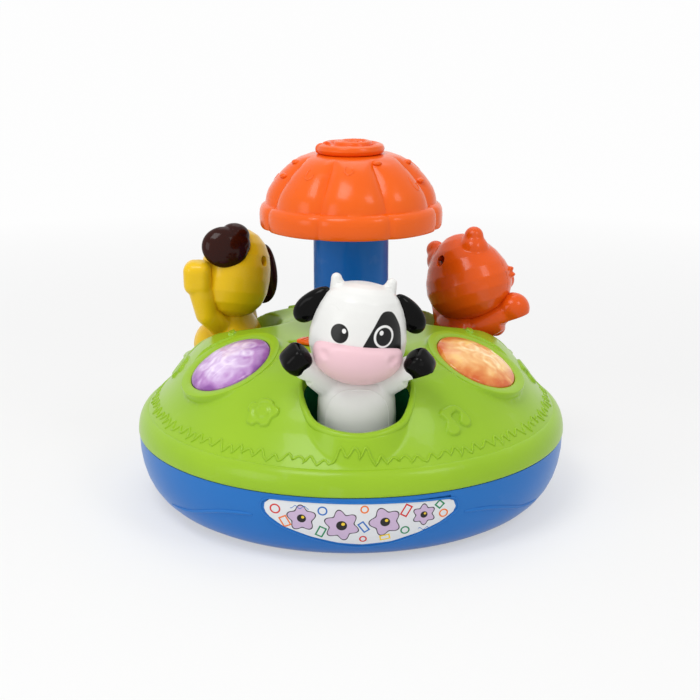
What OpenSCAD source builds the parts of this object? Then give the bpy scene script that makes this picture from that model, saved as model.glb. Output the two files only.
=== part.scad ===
// Animal sound spinner toy: three animals turn in wells round a mushroom pump.
// Origin on the table under the middle of the base, front along -Y, +Z up, millimetres.
// A place round the toy is an angle from the front, positive towards +X.

/* [Housing] */
// Radius at the seam between base and dome
seam_r = 115; // [112:1:140]
// Radius of the flat bottom
foot_r = 90; // [84:1:94]
// Height of the seam above the table
seam_z = 36.4; // [34:0.2:42]
// Height of the dome's flat crown above the table
crown_z = 89.6; // [88:0.2:96]
// Wall of the base and of the dome
wall = 2.4; // [1.8:0.1:3]
// Height of the moulded foot ring that the toy stands on
foot_ring_h = 1.2; // [0.8:0.1:2]

/* [Wells and gears] */
// Inner radius of each animal's well
well_r = 26.2; // [24:0.2:29]
// Height of the well's floor
well_floor_z = 50; // [49:0.5:52]
// Wall of the dark liner in the well
liner_wall = 1.6; // [1.2:0.1:2]
// Slope of the well's rim, down towards the outside
rim_tilt = 20; // [14:1:24]
// Height of the rim above the table at the well's axis
rim_z = 73.5; // [71:0.5:76]
// Gear module
gear_m = 2; // [1.9:0.05:2.1]
// Teeth of the centre gear, a multiple of three
sun_teeth = 57; // [54:3:60]
// Teeth of each animal's gear
pinion_teeth = 17; // [15:2:19]
// Face width of the gears
gear_w = 6; // [4:0.5:7]
// Radius of an animal's shaft in the well's floor
shaft_r = 4; // [3:0.25:5]

/* [Light buttons] */
// Radius of a lens
lens_r = 22; // [18:0.5:24]
// Width of the raised ring round a lens
bezel_w = 5.7; // [4:0.1:6]
// Distance of a lens from the toy's axis
lens_R = 73; // [70:0.5:76]
// Height of a lens's centre
lens_z = 79.5; // [78:0.5:82]
// Slope of a lens
lens_tilt = 26; // [20:1:30]
// Travel of a lens when it is pressed
lens_travel = 2.5; // [1.5:0.25:3]

/* [Pump] */
// Outer radius of the column
column_r = 19.9; // [18:0.1:22]
// Travel of the pump
pump_stroke = 14; // [10:0.5:15]
// Height of the cap's rim at rest
cap_z = 145.3; // [144:0.2:160]
// Radius of the cap at its rim bead
cap_r = 48.2; // [44:0.2:50]
// Height of the cap from rim to top
cap_h = 44.7; // [40:0.2:50]
// Width of the twisted drive bar
bar_w = 8; // [6:0.5:9]
// Thickness of the drive bar
bar_t = 2.4; // [2:0.1:3]
// Height in which the drive bar turns once
bar_lead = 56; // [48:1:80]

/* [Switch] */
// Length of the switch's knob
knob_l = 11; // [9:0.5:12]
// Width of the knob
knob_w = 7; // [6:0.5:8]
// Travel of the knob over its three settings
knob_travel = 8; // [6:1:8]

/* [Animals] */
// Half-width of a body
body_hw = 19.5; // [17:0.5:21]
// Half-depth of a body
body_hd = 15; // [13:0.5:17]
// Wall of the hollow bodies and heads
toy_wall = 2; // [1.6:0.1:2.4]
// Radius of an arm
arm_r = 5.2; // [4:0.2:6]

/* [Power and sound] */
// Radius of an AA cell
cell_r = 7.25; // [7:0.05:7.4]
// Length of an AA cell
cell_l = 50.5; // [49:0.5:51]
// Radius of the speaker
speaker_r = 20; // [16:0.5:22]

/* [Hidden] */
$fn = 48;

fit = 0.05;          // radial clearance of a running fit
gap = 0.3;           // clearance between pieces that only pass each other
slip = 0.1;          // gap between faces that seat on each other

cow_at = 0;          // places round the toy, in degrees from the front
dog_at = -120;
cat_at = 120;
lens_at = [-60, 60, 180];
deck_boss_at = [30, 150, -90];
housing_boss_at = [-30, -150, 90];
guide_boss_at = [-60, 60, 180];

well_R = gear_m * (sun_teeth + pinion_teeth) / 2;   // the gears' centre distance
boss_R = 78;
boss_r = 4.5;
screw_r = 1.4;
screw_head_r = 2.7;

// Heights, from the bottom up
floor_z = foot_ring_h + wall;
deck_z = 33;
deck_t = 2.4;
deck_top = deck_z + deck_t;
gear_z = 40;
gear_top = gear_z + gear_w;
nut_z = gear_top + 2;
nut_t = 4;
guide_z = nut_z + nut_t + 3;
guide_t = 2.5;
guide_top = guide_z + guide_t;
column_z = guide_top + 0.5 + pump_stroke;            // lower end of the column at rest
flange_t = 2;
seat_z = column_z + 36;                              // ledge that the spring pushes up
column_top = cap_z + 4;
body_z = well_floor_z + 4;

dome_h = crown_z - seam_z;
dome_seam_gap = 0.5;

// Dome outline from the crown to the seam: share of the seam radius, share of the dome's height
dome_shape = [
    [0.40, 1], [0.522, 0.972], [0.609, 0.915], [0.696, 0.828], [0.783, 0.652],
    [0.852, 0.461], [0.922, 0.297], [0.974, 0.186], [1, 0.09]];
dome_pts = [for (p = smooth(dome_shape, 2)) [p[0] * seam_r, seam_z + p[1] * dome_h]];
dome_edge = [seam_r, seam_z + dome_seam_gap];
dome_in = inset_line(concat(dome_pts, [dome_edge]), wall);

// Base outline: superellipse quarter from the foot to the seam
bowl_steps = 9;
bowl_pts = [for (i = [0 : bowl_steps]) bowl_pt(i / bowl_steps * 90)];
bowl_in = inset_line(bowl_pts, -wall);

function bowl_pt(a) = [foot_r + (seam_r - foot_r) * pow(sin(a), 2 / 2.25),
    seam_z * (1 - pow(cos(a), 2 / 2.32))];

// Catmull-Rom points through a list, n steps to a span
function smooth(p, n) = concat(
    [for (i = [0 : len(p) - 2], j = [0 : n - 1]) let (
        a = p[max(i - 1, 0)], b = p[i], c = p[i + 1], d = p[min(i + 2, len(p) - 1)], t = j / n)
        0.5 * (2 * b + t * (c - a) + t * t * (2 * a - 5 * b + 4 * c - d)
            + t * t * t * (3 * b - a - 3 * c + d))],
    [p[len(p) - 1]]);

// A line moved sideways by d, to the right of its run when d is positive
function unit(v) = v / max(norm(v), 1e-9);
function side(v) = [v[1], -v[0]];
function inset_line(p, d) = [for (i = [0 : len(p) - 1])
    p[i] + d * unit(side(unit(p[min(i + 1, len(p) - 1)] - p[max(i - 1, 0)])))];

// Height of the dome's outside at a distance from the axis
function dome_z(r) = lookup(r, concat([[0, crown_z]], dome_pts));

module at(angle, r) rotate([0, 0, angle]) translate([0, -r, 0]) children();

module tube(r_out, r_in, h) difference() {
    cylinder(r = r_out, h = h);
    translate([0, 0, -1]) cylinder(r = r_in, h = h + 2);
}

module cylinder_from(z0, z1, r) translate([0, 0, z0]) cylinder(r = r, h = z1 - z0);
module tube_at(z0, z1, r_out, r_in) translate([0, 0, z0]) tube(r_out, r_in, z1 - z0);

// Straight round bar between two points, and the same with round ends
module rod(p, q, r, r_end) {
    v = q - p;
    translate(p) rotate([0, acos(v[2] / norm(v)), atan2(v[1], v[0])])
        cylinder(r1 = r, r2 = r_end, h = norm(v));
}
module limb(p, q, r, r_end) {
    rod(p, q, 0.96 * r, 0.85 * r_end);
    translate(p) sphere(r = r);
    translate(q) sphere(r = r_end);
}

// Everything above or below the sloping plane of a well's rim, lowered by drop
module above_rim(drop) translate([0, 0, rim_z - drop]) rotate([rim_tilt, 0, 0])
    translate([-100, -100, 0]) cube([200, 200, 100]);
module below_rim(drop) translate([0, 0, rim_z - drop]) rotate([rim_tilt, 0, 0])
    translate([-100, -100, -100]) cube([200, 200, 100]);

// Housing
module housing_boss(r, h) for (a = housing_boss_at) at(a, boss_R) cylinder(r = r, h = h);

box_l = cell_l + 9;                 // inside of the battery box
box_w = 6 * cell_r + 4;
box_top = floor_z + 2 * cell_r + 2;
box_wall = 1.6;
door_l = box_l - 1;
door_t = 2;
door_lip = 3;
door_screw_y = box_w / 2 + box_wall + 2.4;
door_w = 2 * (door_screw_y + 4);
speaker_y = 60;
sound_hole_r = 1.6;
sound_hole_pitch = 5.6;
label_depth = 0.8;

// Outline of the label seen from the front, and the same grown by g
module label_outline(g) polygon([
    [-44.4 - g, 29.5], [-43.2 - g, 34.2 + g], [0, 33.6 + g], [43.2 + g, 34.2 + g],
    [44.4 + g, 29.5], [28.5 + g, 21 - g], [12 + g / 2, 13.6 - g], [0, 11 - g],
    [-12 - g / 2, 13.6 - g], [-28.5 - g, 21 - g]]);
module label_prism(g) translate([0, -60, 0]) rotate([90, 0, 0]) linear_extrude(80) label_outline(g);

module base_bowl() color("royalblue") difference() {
    union() {
        rotate_extrude($fn = 96) polygon(concat(
            [[0, foot_ring_h], [foot_r - 8, foot_ring_h], [foot_r - 7, 0]], bowl_pts,
            [for (i = [len(bowl_in) - 1 : -1 : 3]) bowl_in[i]], [[foot_r + 4, floor_z], [0, floor_z]]));
        translate([0, 0, foot_ring_h + 0.5]) housing_boss(boss_r, deck_top - foot_ring_h - 0.5);
        translate([-box_l / 2 - box_wall, -box_w / 2 - box_wall, foot_ring_h + 0.4])
            cube([box_l + 2 * box_wall, box_w + 2 * box_wall, box_top + box_wall - foot_ring_h - 0.4]);
        translate([-door_l / 2 - door_lip, -door_w / 2 - door_lip, foot_ring_h + 0.4])
            cube([door_l + 2 * door_lip, door_w + 2 * door_lip, wall + 1.8]);
        translate([0, door_screw_y, foot_ring_h + 0.5]) cylinder(r = 4, h = 9);
        at(180, speaker_y) translate([0, 0, floor_z - 0.5]) tube(speaker_r + 2, speaker_r + gap, 6);
        for (x = [-1, 1], y = [-1, 1]) translate([x * board_x, board_y + y * board_dy, floor_z - 0.5])
            cylinder(r = 3, h = board_z - floor_z + 0.5);
    }
    // battery bay, the door's recess and its screw
    translate([-box_l / 2, -box_w / 2, 0]) cube([box_l, box_w, box_top]);
    translate([-door_l / 2 - gap, -door_w / 2 - gap, -1])
        cube([door_l + 2 * gap, door_w + 2 * gap, foot_ring_h + door_t + 1.1]);
    translate([0, door_screw_y, 0]) cylinder(r = screw_r + fit, h = 9.5);
    // screw wells from below
    translate([0, 0, -1]) housing_boss(screw_head_r + gap, 19);
    translate([0, 0, 17]) housing_boss(screw_r + fit, deck_top);
    // sound holes
    at(180, speaker_y) for (ring = [0 : 2], i = [0 : max(6 * ring - 1, 0)])
        rotate([0, 0, i * 60 / max(ring, 1)]) translate([ring * sound_hole_pitch, 0, 0])
            cylinder(r = sound_hole_r, h = floor_z + 1);
    // recess for the label
    difference() {
        label_prism(gap);
        rotate_extrude($fn = 96)
            polygon(concat([[0, 0]], inset_line(bowl_pts, -label_depth), [[0, seam_z + 1]]));
    }
}

module front_label() color("white") intersection() {
    label_prism(0);
    rotate_extrude($fn = 96) polygon(concat(inset_line(bowl_pts, -0.25),
        [for (i = [bowl_steps : -1 : 0]) inset_line(bowl_pts, 0.05 - label_depth)[i]]));
}

module battery_door() color("royalblue") difference() {
    translate([-door_l / 2, -door_w / 2, foot_ring_h]) cube([door_l, door_w, door_t]);
    translate([0, door_screw_y, 0]) cylinder(r = screw_r + 0.2, h = 10);
    translate([0, door_screw_y, 0]) cylinder(r = screw_head_r + 0.2, h = foot_ring_h + 0.9);
}

module battery_door_screw() color("silver") translate([0, door_screw_y, foot_ring_h + 0.1]) {
    cylinder(r = screw_head_r, h = 0.8);
    cylinder(r = screw_r, h = 7.5);
}

cell_z = foot_ring_h + door_t + cell_r + 0.3;
cell_pitch = 2 * cell_r + 1;
module batteries() color("goldenrod") for (i = [-1 : 1]) translate([-cell_l / 2, i * cell_pitch, cell_z])
    rotate([0, 90, 0]) {
        cylinder(r = cell_r, h = cell_l - 1.2);
        cylinder(r = 2.7, h = cell_l);
    }

contact_gap = (box_l - cell_l) / 2;
module battery_contacts() color("silver") for (i = [-1 : 1], s = [-1, 1])
    translate([s * box_l / 2, i * cell_pitch, cell_z]) rotate([0, -90 * s, 0]) {
        translate([-5, -5, slip]) cube([10, 10, 0.5]);
        cylinder(r = 2.5, h = contact_gap - gap);
    }

board_x = 26;                       // posts of the circuit board
board_y = -58;
board_dy = 9;
board_z = 20;
module circuit_board() color("darkgreen") translate([0, board_y, board_z + slip]) {
    translate([-30, -13, 0]) cube([60, 26, 1.6]);
    translate([-8, -8, 1.6]) cube([14, 14, 1.8]);
    translate([12, -5, 1.6]) cylinder(r = 3, h = 8);
    translate([-20, -6, 1.6]) cube([6, 12, 5]);
}

module speaker() color("dimgray") at(180, speaker_y) translate([0, 0, floor_z + slip]) {
    tube(speaker_r, speaker_r - 2.5, 3);
    translate([0, 0, 1]) cylinder(r1 = speaker_r - 2.4, r2 = 9, h = 5);
    translate([0, 0, 5.5]) cylinder(r = 9, h = 5);
}

// Dome
bulge_r_top = 29;                   // flared wall outside a well, near the rim
bulge_r_low = 36;
bulge_z_top = 66;
bulge_z_low = 46;
bulge_slope = (bulge_r_low - bulge_r_top) / (bulge_z_top - bulge_z_low);
bulge_up = 18;                      // the cone runs on above, to be cut by the rim's plane
scoop_z = 84;                       // lowest edge of the scoop in the crown behind a well
scoop_slope = 23;
scoop_h = 9;
collar_r = column_r + fit;
skirt_r = column_r + 6.5;
guide_boss_R = skirt_r + 2.2;
boss_low = deck_top + 0.2;

module bulge(inset) translate([0, 0, bulge_z_low])
    cylinder(r1 = bulge_r_low - inset, r2 = bulge_r_top - bulge_slope * bulge_up - inset,
        h = bulge_z_top - bulge_z_low + bulge_up);

// Shallow cone that lets an animal's arms pass over the crown, lowered by drop
module scoop(drop) translate([0, 0, scoop_z - drop])
    cylinder(r1 = well_r, r2 = well_r + scoop_h / tan(scoop_slope), h = scoop_h);

module at_lens(a) at(a, lens_R) translate([0, 0, lens_z]) rotate([lens_tilt, 0, 0]) children();

knob_at = -34;                      // place of the knob in its first setting
knob_R = 41.4;
slot_w = 3.2;
slot_end = 3.4;                     // slot's reach past the knob's middle at both ends of its travel
slot_l = knob_travel + slot_end;
module at_knob() at(knob_at, knob_R) children();

module dome_skin() rotate_extrude($fn = 96) polygon(concat(
    [[0, crown_z]], dome_pts, [dome_edge], [for (i = [len(dome_in) - 1 : -1 : 0]) dome_in[i]],
    [[0, crown_z - wall]]));

module dome_solid() rotate_extrude($fn = 96)
    polygon(concat([[0, crown_z]], dome_pts, [dome_edge, [0, dome_edge[1]]]));

module dome_shell() color("yellowgreen") difference() {
    union() {
        dome_skin();
        for (a = [cow_at, dog_at, cat_at]) at(a, well_R) {
            difference() {
                intersection() {
                    bulge(0);
                    below_rim(0);
                }
                intersection() {
                    bulge(wall);
                    below_rim(wall);
                }
                translate([-60, 0, bulge_z_low - 1]) cube([120, 60, 60]);
            }
        }
        intersection() {
            dome_solid();
            for (a = [cow_at, dog_at, cat_at]) at(a, well_R) difference() {
                cylinder(r = well_r + wall, h = 120);
                below_rim(wall);
            }
        }
        intersection() {
            dome_solid();
            for (a = [cow_at, dog_at, cat_at]) at(a, well_R) scoop(wall);
        }
        for (a = lens_at) at_lens(a) {
            translate([0, 0, -9]) cylinder(r = lens_r + bezel_w, h = 11.5);
            translate([0, 0, -14]) cylinder(r = lens_r + 3, h = 10);
        }
        translate([0, 0, column_z + flange_t + 0.3]) cylinder(r = collar_r + 2, h = crown_z - column_z - 3);
        translate([0, 0, guide_top + 0.1]) tube(skirt_r, skirt_r - 2, crown_z - guide_top - 1);
        for (a = guide_boss_at) at(a, guide_boss_R) translate([0, 0, guide_top + 0.1])
            cylinder(r = 3, h = crown_z - guide_top - 1);
        for (a = concat(deck_boss_at, housing_boss_at)) at(a, boss_R) translate([0, 0, boss_low])
            cylinder(r = boss_r, h = dome_z(boss_R + boss_r) - boss_low - 0.4);
    }
    // inside of each bulge, and the well through the dome
    for (a = [cow_at, dog_at, cat_at]) at(a, well_R) {
        intersection() {
            bulge(wall);
            below_rim(wall);
            translate([-60, -60, 0]) cube([120, 60, 90]);
        }
        translate([0, 0, 30]) cylinder(r = well_r, h = 90);
        scoop(0);
        intersection() {
            translate([0, 0, 30]) cylinder(r = well_r + liner_wall + slip, h = 90);
            below_rim(wall);
        }
    }
    for (a = lens_at) at_lens(a) {
        translate([0, 0, -20]) cylinder(r = lens_r + gap, h = 40);
        translate([0, 0, 2.5]) cylinder(r = lens_r + bezel_w + 3, h = 20);
    }
    cylinder(r = collar_r, h = 120);
    for (a = guide_boss_at) at(a, guide_boss_R) translate([0, 0, guide_top])
        cylinder(r = screw_r + fit, h = 12);
    for (a = concat(deck_boss_at, housing_boss_at)) at(a, boss_R) translate([0, 0, deck_top])
        cylinder(r = screw_r + fit, h = 16);
    at_knob() translate([-slot_l, -slot_w / 2, crown_z - wall - 2]) cube([slot_l + slot_end, slot_w, 10]);
}

// Wells
bush_h = 3;
module cup() color("darkgreen") difference() {
    union() {
        difference() {
            translate([0, 0, well_floor_z]) cylinder(r = well_r + liner_wall, h = 60);
            above_rim(wall + slip);
            translate([0, 0, well_floor_z + 2]) cylinder(r = well_r, h = 60);
        }
        translate([0, 0, well_floor_z]) cylinder(r = shaft_r + 3, h = bush_h);
    }
    translate([0, 0, well_floor_z - 1]) cylinder(r = shaft_r + fit, h = 10);
}
module front_cup() at(cow_at, well_R) cup();
module left_cup() at(dog_at, well_R) cup();
module right_cup() at(cat_at, well_R) cup();

// Drive
deck_r = 99;
hub_r = 9;
hub_hole = bar_w / 2 + 2.5;
post_r = 2.5;
post_R = max(well_r - 2, gear_m * (pinion_teeth + 2) / 2 + gap + post_r); // clear of the gear's tips
post_at = [0, 100, -100];             // posts under a well, clear of the centre gear
module gear_deck() color("gainsboro") difference() {
    union() {
        translate([0, 0, deck_z]) cylinder(r = deck_r, h = deck_t);
        cylinder_from(deck_top - 0.1, gear_z - 2, 14);
        cylinder_from(deck_top - 0.1, gear_top + 0.6, hub_r);
        for (a = [cow_at, dog_at, cat_at]) at(a, well_R) {
            for (b = post_at) at(b, post_R) cylinder_from(deck_top - 0.1, well_floor_z - slip, post_r);
            cylinder_from(deck_top - 0.1, gear_z - 1.5, shaft_r + 2.5);
        }
    }
    cylinder(r = hub_hole, h = 80);
    for (a = [cow_at, dog_at, cat_at]) at(a, well_R) cylinder(r = shaft_r + fit, h = gear_z);
    housing_boss(boss_r + gap, 60);
    for (a = deck_boss_at) at(a, boss_R) cylinder(r = screw_r + fit, h = 60);
}

// Straight-flanked gear outline, tooth 0 on the angle given
tooth_share = 0.42;                 // tooth thickness on the pitch circle, as a share of the pitch
module gear_outline(n, turn) {
    rp = gear_m * n / 2;
    ra = rp + 0.85 * gear_m;
    rd = rp - 1.15 * gear_m;
    half = tooth_share * 180 / n;
    flank = gear_m * tan(20) / rp * 180 / PI;
    tooth = [
        [rd, -half - 1.1 * flank], [ra, -half + 0.85 * flank],
        [ra, half - 0.85 * flank], [rd, half + 1.1 * flank]];
    polygon([for (i = [0 : n - 1], c = tooth)
        c[0] * [sin(turn + i * 360 / n + c[1]), -cos(turn + i * 360 / n + c[1])]]);
}

// Ring of saw teeth that the clutch and the centre gear meet with
module ratchet(z, up) for (i = [0 : 7]) rotate([0, 0, i * 45]) translate([0, 13, z]) rotate([90, 0, 0])
    linear_extrude(2.6) polygon([[0, -0.2 * up], [4, -0.2 * up], [4, 0.7 * up], [0, 0]]);

module sun_gear() color("white") difference() {
    union() {
        translate([0, 0, gear_z]) linear_extrude(gear_w) gear_outline(sun_teeth, 0);
        cylinder_from(gear_z - 2 + slip, gear_top, 14);
        ratchet(gear_top, 1);
    }
    cylinder(r = hub_r + fit, h = 80);
    difference() {
        translate([0, 0, gear_z + 2.4]) cylinder(r = gear_m * sun_teeth / 2 - 6, h = gear_w);
        cylinder(r = 14, h = 80);
    }
}

module bar_profile(extra) square([bar_w + 2 * extra, bar_t + 2 * extra], center = true);

bar_z = nut_z - 4;                  // lower end of the bar at rest
bar_top = column_top - 2 - 4;
bar_l = bar_top - bar_z;
module drive_bar() color("silver") union() {
    translate([0, 0, bar_z]) rotate([0, 0, turn_at(bar_z)])
        linear_extrude(bar_l, twist = -turn_at(nut_z + bar_l), slices = 96, segments = 4)
            bar_profile(0);
    translate([0, 0, bar_top - 0.5]) cylinder(r = 6.5, h = column_top - 2 - slip - bar_top + 0.5);
}
function turn_at(z) = 360 * (z - nut_z) / bar_lead;

nut_r = 13;
spring_r = 12.5;
module clutch_nut() color("orange") difference() {
    union() {
        cylinder_from(nut_z, nut_z + nut_t, nut_r);
        ratchet(nut_z, -1);
    }
    translate([0, 0, nut_z - 2]) cylinder(r = hub_r + 0.6, h = 3.4);
    translate([0, 0, nut_z + 1]) rotate([0, 0, turn_at(nut_z + 1)])
        linear_extrude(nut_t, twist = -turn_at(nut_z + nut_t), slices = 6, segments = 4)
            bar_profile(gap + slip);
}

module pump_guide() color("white") difference() {
    union() {
        cylinder_from(guide_z, guide_top, skirt_r);
        for (a = guide_boss_at) at(a, guide_boss_R) cylinder_from(guide_z, guide_top, 3.4);
        cylinder_from(guide_top - 0.1, seat_z - 4, 9);
    }
    cylinder(r = 7, h = 200);
    for (a = guide_boss_at) at(a, guide_boss_R) cylinder(r = screw_r + fit, h = 80);
}

module pump_spring() color("silver") tube_at(guide_top + slip, seat_z - slip, spring_r, spring_r - 2);

module pump_column() color("navy") difference() {
    union() {
        cylinder_from(column_z, column_top, column_r);
        cylinder_from(column_z, column_z + flange_t, column_r + 2.1);
    }
    cylinder_from(column_z - 1, seat_z, column_r - 2.4);
    cylinder_from(seat_z + 2, column_top - 2, column_r - 2.4);
    cylinder(r = 9.5, h = column_top - 2);
    for (a = cap_screw_at) at(a, cap_screw_R) cylinder(r = screw_r + fit, h = 300);
}

// Cap
cap_screw_at = [0, 120, 240];
cap_screw_R = 13;
cap_wall = 2.2;
disc_r = 18.5;
disc_h = 6.7;
dome_cap_h = cap_h - disc_h;
// Cap outline: share of the rim radius, share of the height up to the disc
cap_shape = [
    [1, 0], [1, 0.203], [0.942, 0.29], [0.915, 0.461],
    [0.836, 0.626], [0.726, 0.792], [0.6, 0.91], [0.4, 1]];
cap_pts = [for (p = smooth(cap_shape, 2)) [p[0] * cap_r, cap_z + p[1] * dome_cap_h]];
cap_in = inset_line(cap_pts, -cap_wall);
module mushroom_cap() color("orangered") difference() {
    union() {
        rotate_extrude($fn = 96) polygon(concat(cap_pts, [[0, cap_z + dome_cap_h]],
            [[0, cap_z + dome_cap_h - cap_wall]], [for (i = [len(cap_in) - 1 : -1 : 0]) cap_in[i]]));
        for (a = cap_screw_at) at(a, cap_screw_R)
            cylinder_from(column_top + 2.4, cap_z + dome_cap_h - 1, 3.6);
    }
    translate([0, 0, cap_z - 5]) cylinder(r = cap_r + 5, h = 5);
    for (a = cap_screw_at) at(a, cap_screw_R) cylinder_from(cap_z, column_top + 15, screw_r + fit);
}

module cap_top_disc() color("orangered") translate([0, 0, cap_z + dome_cap_h + slip]) {
    rotate_extrude() polygon([[0, 0], [disc_r, 0], [disc_r, 2.6], [disc_r - 1.2, 3.8], [0, 4]]);
    // raised swirl: a ring round a knob
    rotate_extrude() translate([9, 3.9]) circle(r = 1.9);
    translate([0, 0, 3]) cylinder(r = 3.6, h = disc_h - 3 - slip);
}

module cap_base() color("orangered") difference() {
    cylinder_from(column_top + slip, column_top + 2.2, cap_r - cap_wall - gap - 0.6);
    for (a = cap_screw_at) at(a, cap_screw_R) cylinder(r = screw_r + fit, h = 300);
}

module cap_screws() color("silver") for (a = cap_screw_at) at(a, cap_screw_R) {
    cylinder_from(column_top - 4, column_top - 2 - 0.05, screw_head_r);
    cylinder_from(column_top - 4, column_top + 14, screw_r);
}

// Fasteners
module housing_screws() color("silver") for (a = housing_boss_at) at(a, boss_R) {
    cylinder_from(16.2, 17.9, screw_head_r);
    cylinder_from(16.2, deck_top + 13, screw_r);
}
module deck_screws() color("silver") for (a = deck_boss_at) at(a, boss_R) {
    cylinder_from(deck_z - 1.9, deck_z - fit, screw_head_r);
    cylinder_from(deck_z - 1.9, deck_top + 13, screw_r);
}
module guide_screws() color("silver") for (a = guide_boss_at) at(a, guide_boss_R) {
    cylinder_from(guide_z - 1.8, guide_z - fit, screw_head_r);
    cylinder_from(guide_z - 1.8, guide_top + 10, screw_r);
}

// Light buttons
lens_dome = 5;                      // height of the lens's crown above its edge
lens_ball = (lens_r * lens_r + lens_dome * lens_dome) / (2 * lens_dome);
lens_skirt = 7;
board_drop = 18;                    // the button's board under the lens's edge
plunger_r = 2.5;
tact_h = 1.2;                       // height of the contact that the plunger meets
plunger_low = tact_h + lens_travel + gap - board_drop;
lamp_h = 4;
module lens() {
    difference() {
        union() {
            intersection() {
                translate([0, 0, lens_dome - lens_ball + 1]) sphere(r = lens_ball, $fn = 96);
                cylinder(r = lens_r, h = lens_dome + 2);
            }
            translate([0, 0, 1 - lens_skirt]) cylinder(r = lens_r, h = lens_skirt + 0.01);
        }
        translate([0, 0, -lens_skirt]) cylinder(r = lens_r - 1.8, h = lens_skirt - 0.5);
    }
    cylinder_from(plunger_low, 0, plunger_r);
}
module left_lens() color("mediumpurple") at_lens(lens_at[0]) lens();
module right_lens() color("orange") at_lens(lens_at[1]) lens();
module rear_lens() color("deepskyblue") at_lens(lens_at[2]) lens();

module button_board() {
    translate([0, 0, -board_drop - 1.6]) cylinder(r = lens_r + 2.5, h = 1.6);
    translate([-2.5, -2.5, -board_drop]) cube([5, 5, tact_h]);
    for (s = [-1, 1]) translate([s * 10, 0, -board_drop]) cylinder(r = 2.5, h = lamp_h);
    tube_at(-board_drop - 0.1, -14 - slip, lens_r + 2.5, lens_r + 0.6);
}
module left_button_board() color("seagreen") at_lens(lens_at[0]) button_board();
module right_button_board() color("seagreen") at_lens(lens_at[1]) button_board();
module rear_button_board() color("seagreen") at_lens(lens_at[2]) button_board();

module button_spring() tube_at(-board_drop + slip, -0.5 - slip, plunger_r + 2, plunger_r + 1.4);
module left_button_spring() color("silver") at_lens(lens_at[0]) button_spring();
module right_button_spring() color("silver") at_lens(lens_at[1]) button_spring();
module rear_button_spring() color("silver") at_lens(lens_at[2]) button_spring();

// Switch
switch_z = crown_z - wall;
switch_wall = 1;
module switch_knob() color("orangered") at_knob() {
    translate([-knob_l / 2, -knob_w / 2, crown_z + 0.15]) cube([knob_l, knob_w, 2.2]);
    for (x = [-2.4, 0, 2.4]) translate([x - 0.6, -knob_w / 2, crown_z + 2.2]) cube([1.2, knob_w, 0.9]);
    translate([-2.2, -1.4, switch_z - 2.2]) cube([4.4, 2.8, wall + 2.6]);
}
module switch_body() color("dimgray") at_knob() difference() {
    translate([-slot_l - switch_wall, -3.6, switch_z - 7.8])
        cube([slot_l + slot_end + 2 * switch_wall, 7.2, 7]);
    translate([-slot_l, -slot_w / 2, switch_z - 4]) cube([slot_l + slot_end, slot_w, 10]);
}

// Animals, each drawn facing the front with its axis on Z
drive_side = 5.4;
module spindle() color("white") difference() {
    union() {
        translate([0, 0, gear_z]) linear_extrude(gear_w) gear_outline(pinion_teeth, 0);
        cylinder_from(deck_z, well_floor_z + bush_h + 0.6, shaft_r);
        cylinder_from(gear_z - 1.4, well_floor_z - 1, shaft_r + 2);
        translate([-drive_side / 2, -drive_side / 2, well_floor_z + bush_h])
            cube([drive_side, drive_side, 13]);
    }
    cylinder_from(gear_top + 3, body_z + 20, 0.9);
}

oval_off = 8;                       // offset of the two round walls that make the oval body
module body_form(shrink, h) {
    intersection() {
        rotate_extrude() polygon([
            [0, body_z + shrink], [0.88 * body_hw - shrink, body_z + shrink],
            [0.96 * body_hw - shrink, body_z + 4], [body_hw - shrink, body_z + 0.34 * h],
            [0.95 * body_hw - shrink, body_z + 0.62 * h], [0.78 * body_hw - shrink, body_z + 0.85 * h],
            [0.58 * body_hw - shrink, body_z + h - shrink], [0, body_z + h - shrink]]);
        translate([0, oval_off, 0]) cylinder(r = body_hd + oval_off - shrink, h = 200);
        translate([0, -oval_off, 0]) cylinder(r = body_hd + oval_off - shrink, h = 200);
    }
}
module body_shell(h) {
    difference() {
        union() {
            difference() {
                body_form(0, h);
                body_form(toy_wall, h);
            }
            cylinder_from(body_z, body_z + 14, 6.5);
        }
        translate([-drive_side / 2 - slip, -drive_side / 2 - slip, 0])
            cube([drive_side + 2 * slip, drive_side + 2 * slip, body_z + 13]);
    }
}

// Hollow head: a ball, or two balls joined by a straight stretch, its poles on the front-back line
module head_form(r, up, shrink) {
    translate([0, 0, up]) rotate([90, 0, 0]) sphere(r = r - shrink);
    if (up > 0) {
        translate([0, 0, -up]) rotate([90, 0, 0]) sphere(r = r - shrink);
        translate([0, 0, -up]) cylinder(r = r - shrink, h = 2 * up);
    }
}
// The halves are held by one screw from behind, in a boss above the middle of the head
boss_up = 8;
module head_line(y, r, h) translate([0, y, boss_up]) rotate([-90, 0, 0]) cylinder(r = r, h = h);
module head_front(r, up) difference() {
    union() {
        difference() {
            head_form(r, up, 0);
            head_form(r, up, toy_wall);
            translate([-100, -slip / 2, -100]) cube([200, 200, 200]);
        }
        head_line(3 - r, 4, r - 3 - slip / 2);
    }
    head_line(-6, screw_r + fit, 30);
}
module head_back(r, up) difference() {
    union() {
        difference() {
            head_form(r, up, 0);
            head_form(r, up, toy_wall);
            translate([-100, slip / 2 - 200, -100]) cube([200, 200, 200]);
        }
        head_line(slip / 2, 4, r - 3);
    }
    head_line(-6, screw_r + fit, 30);
    head_line(12, screw_head_r + 0.2, 30);
}
module head_screw() {
    head_line(-4, screw_r, 16.5);
    head_line(12 + fit, screw_head_r, 1.6);
}

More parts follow.
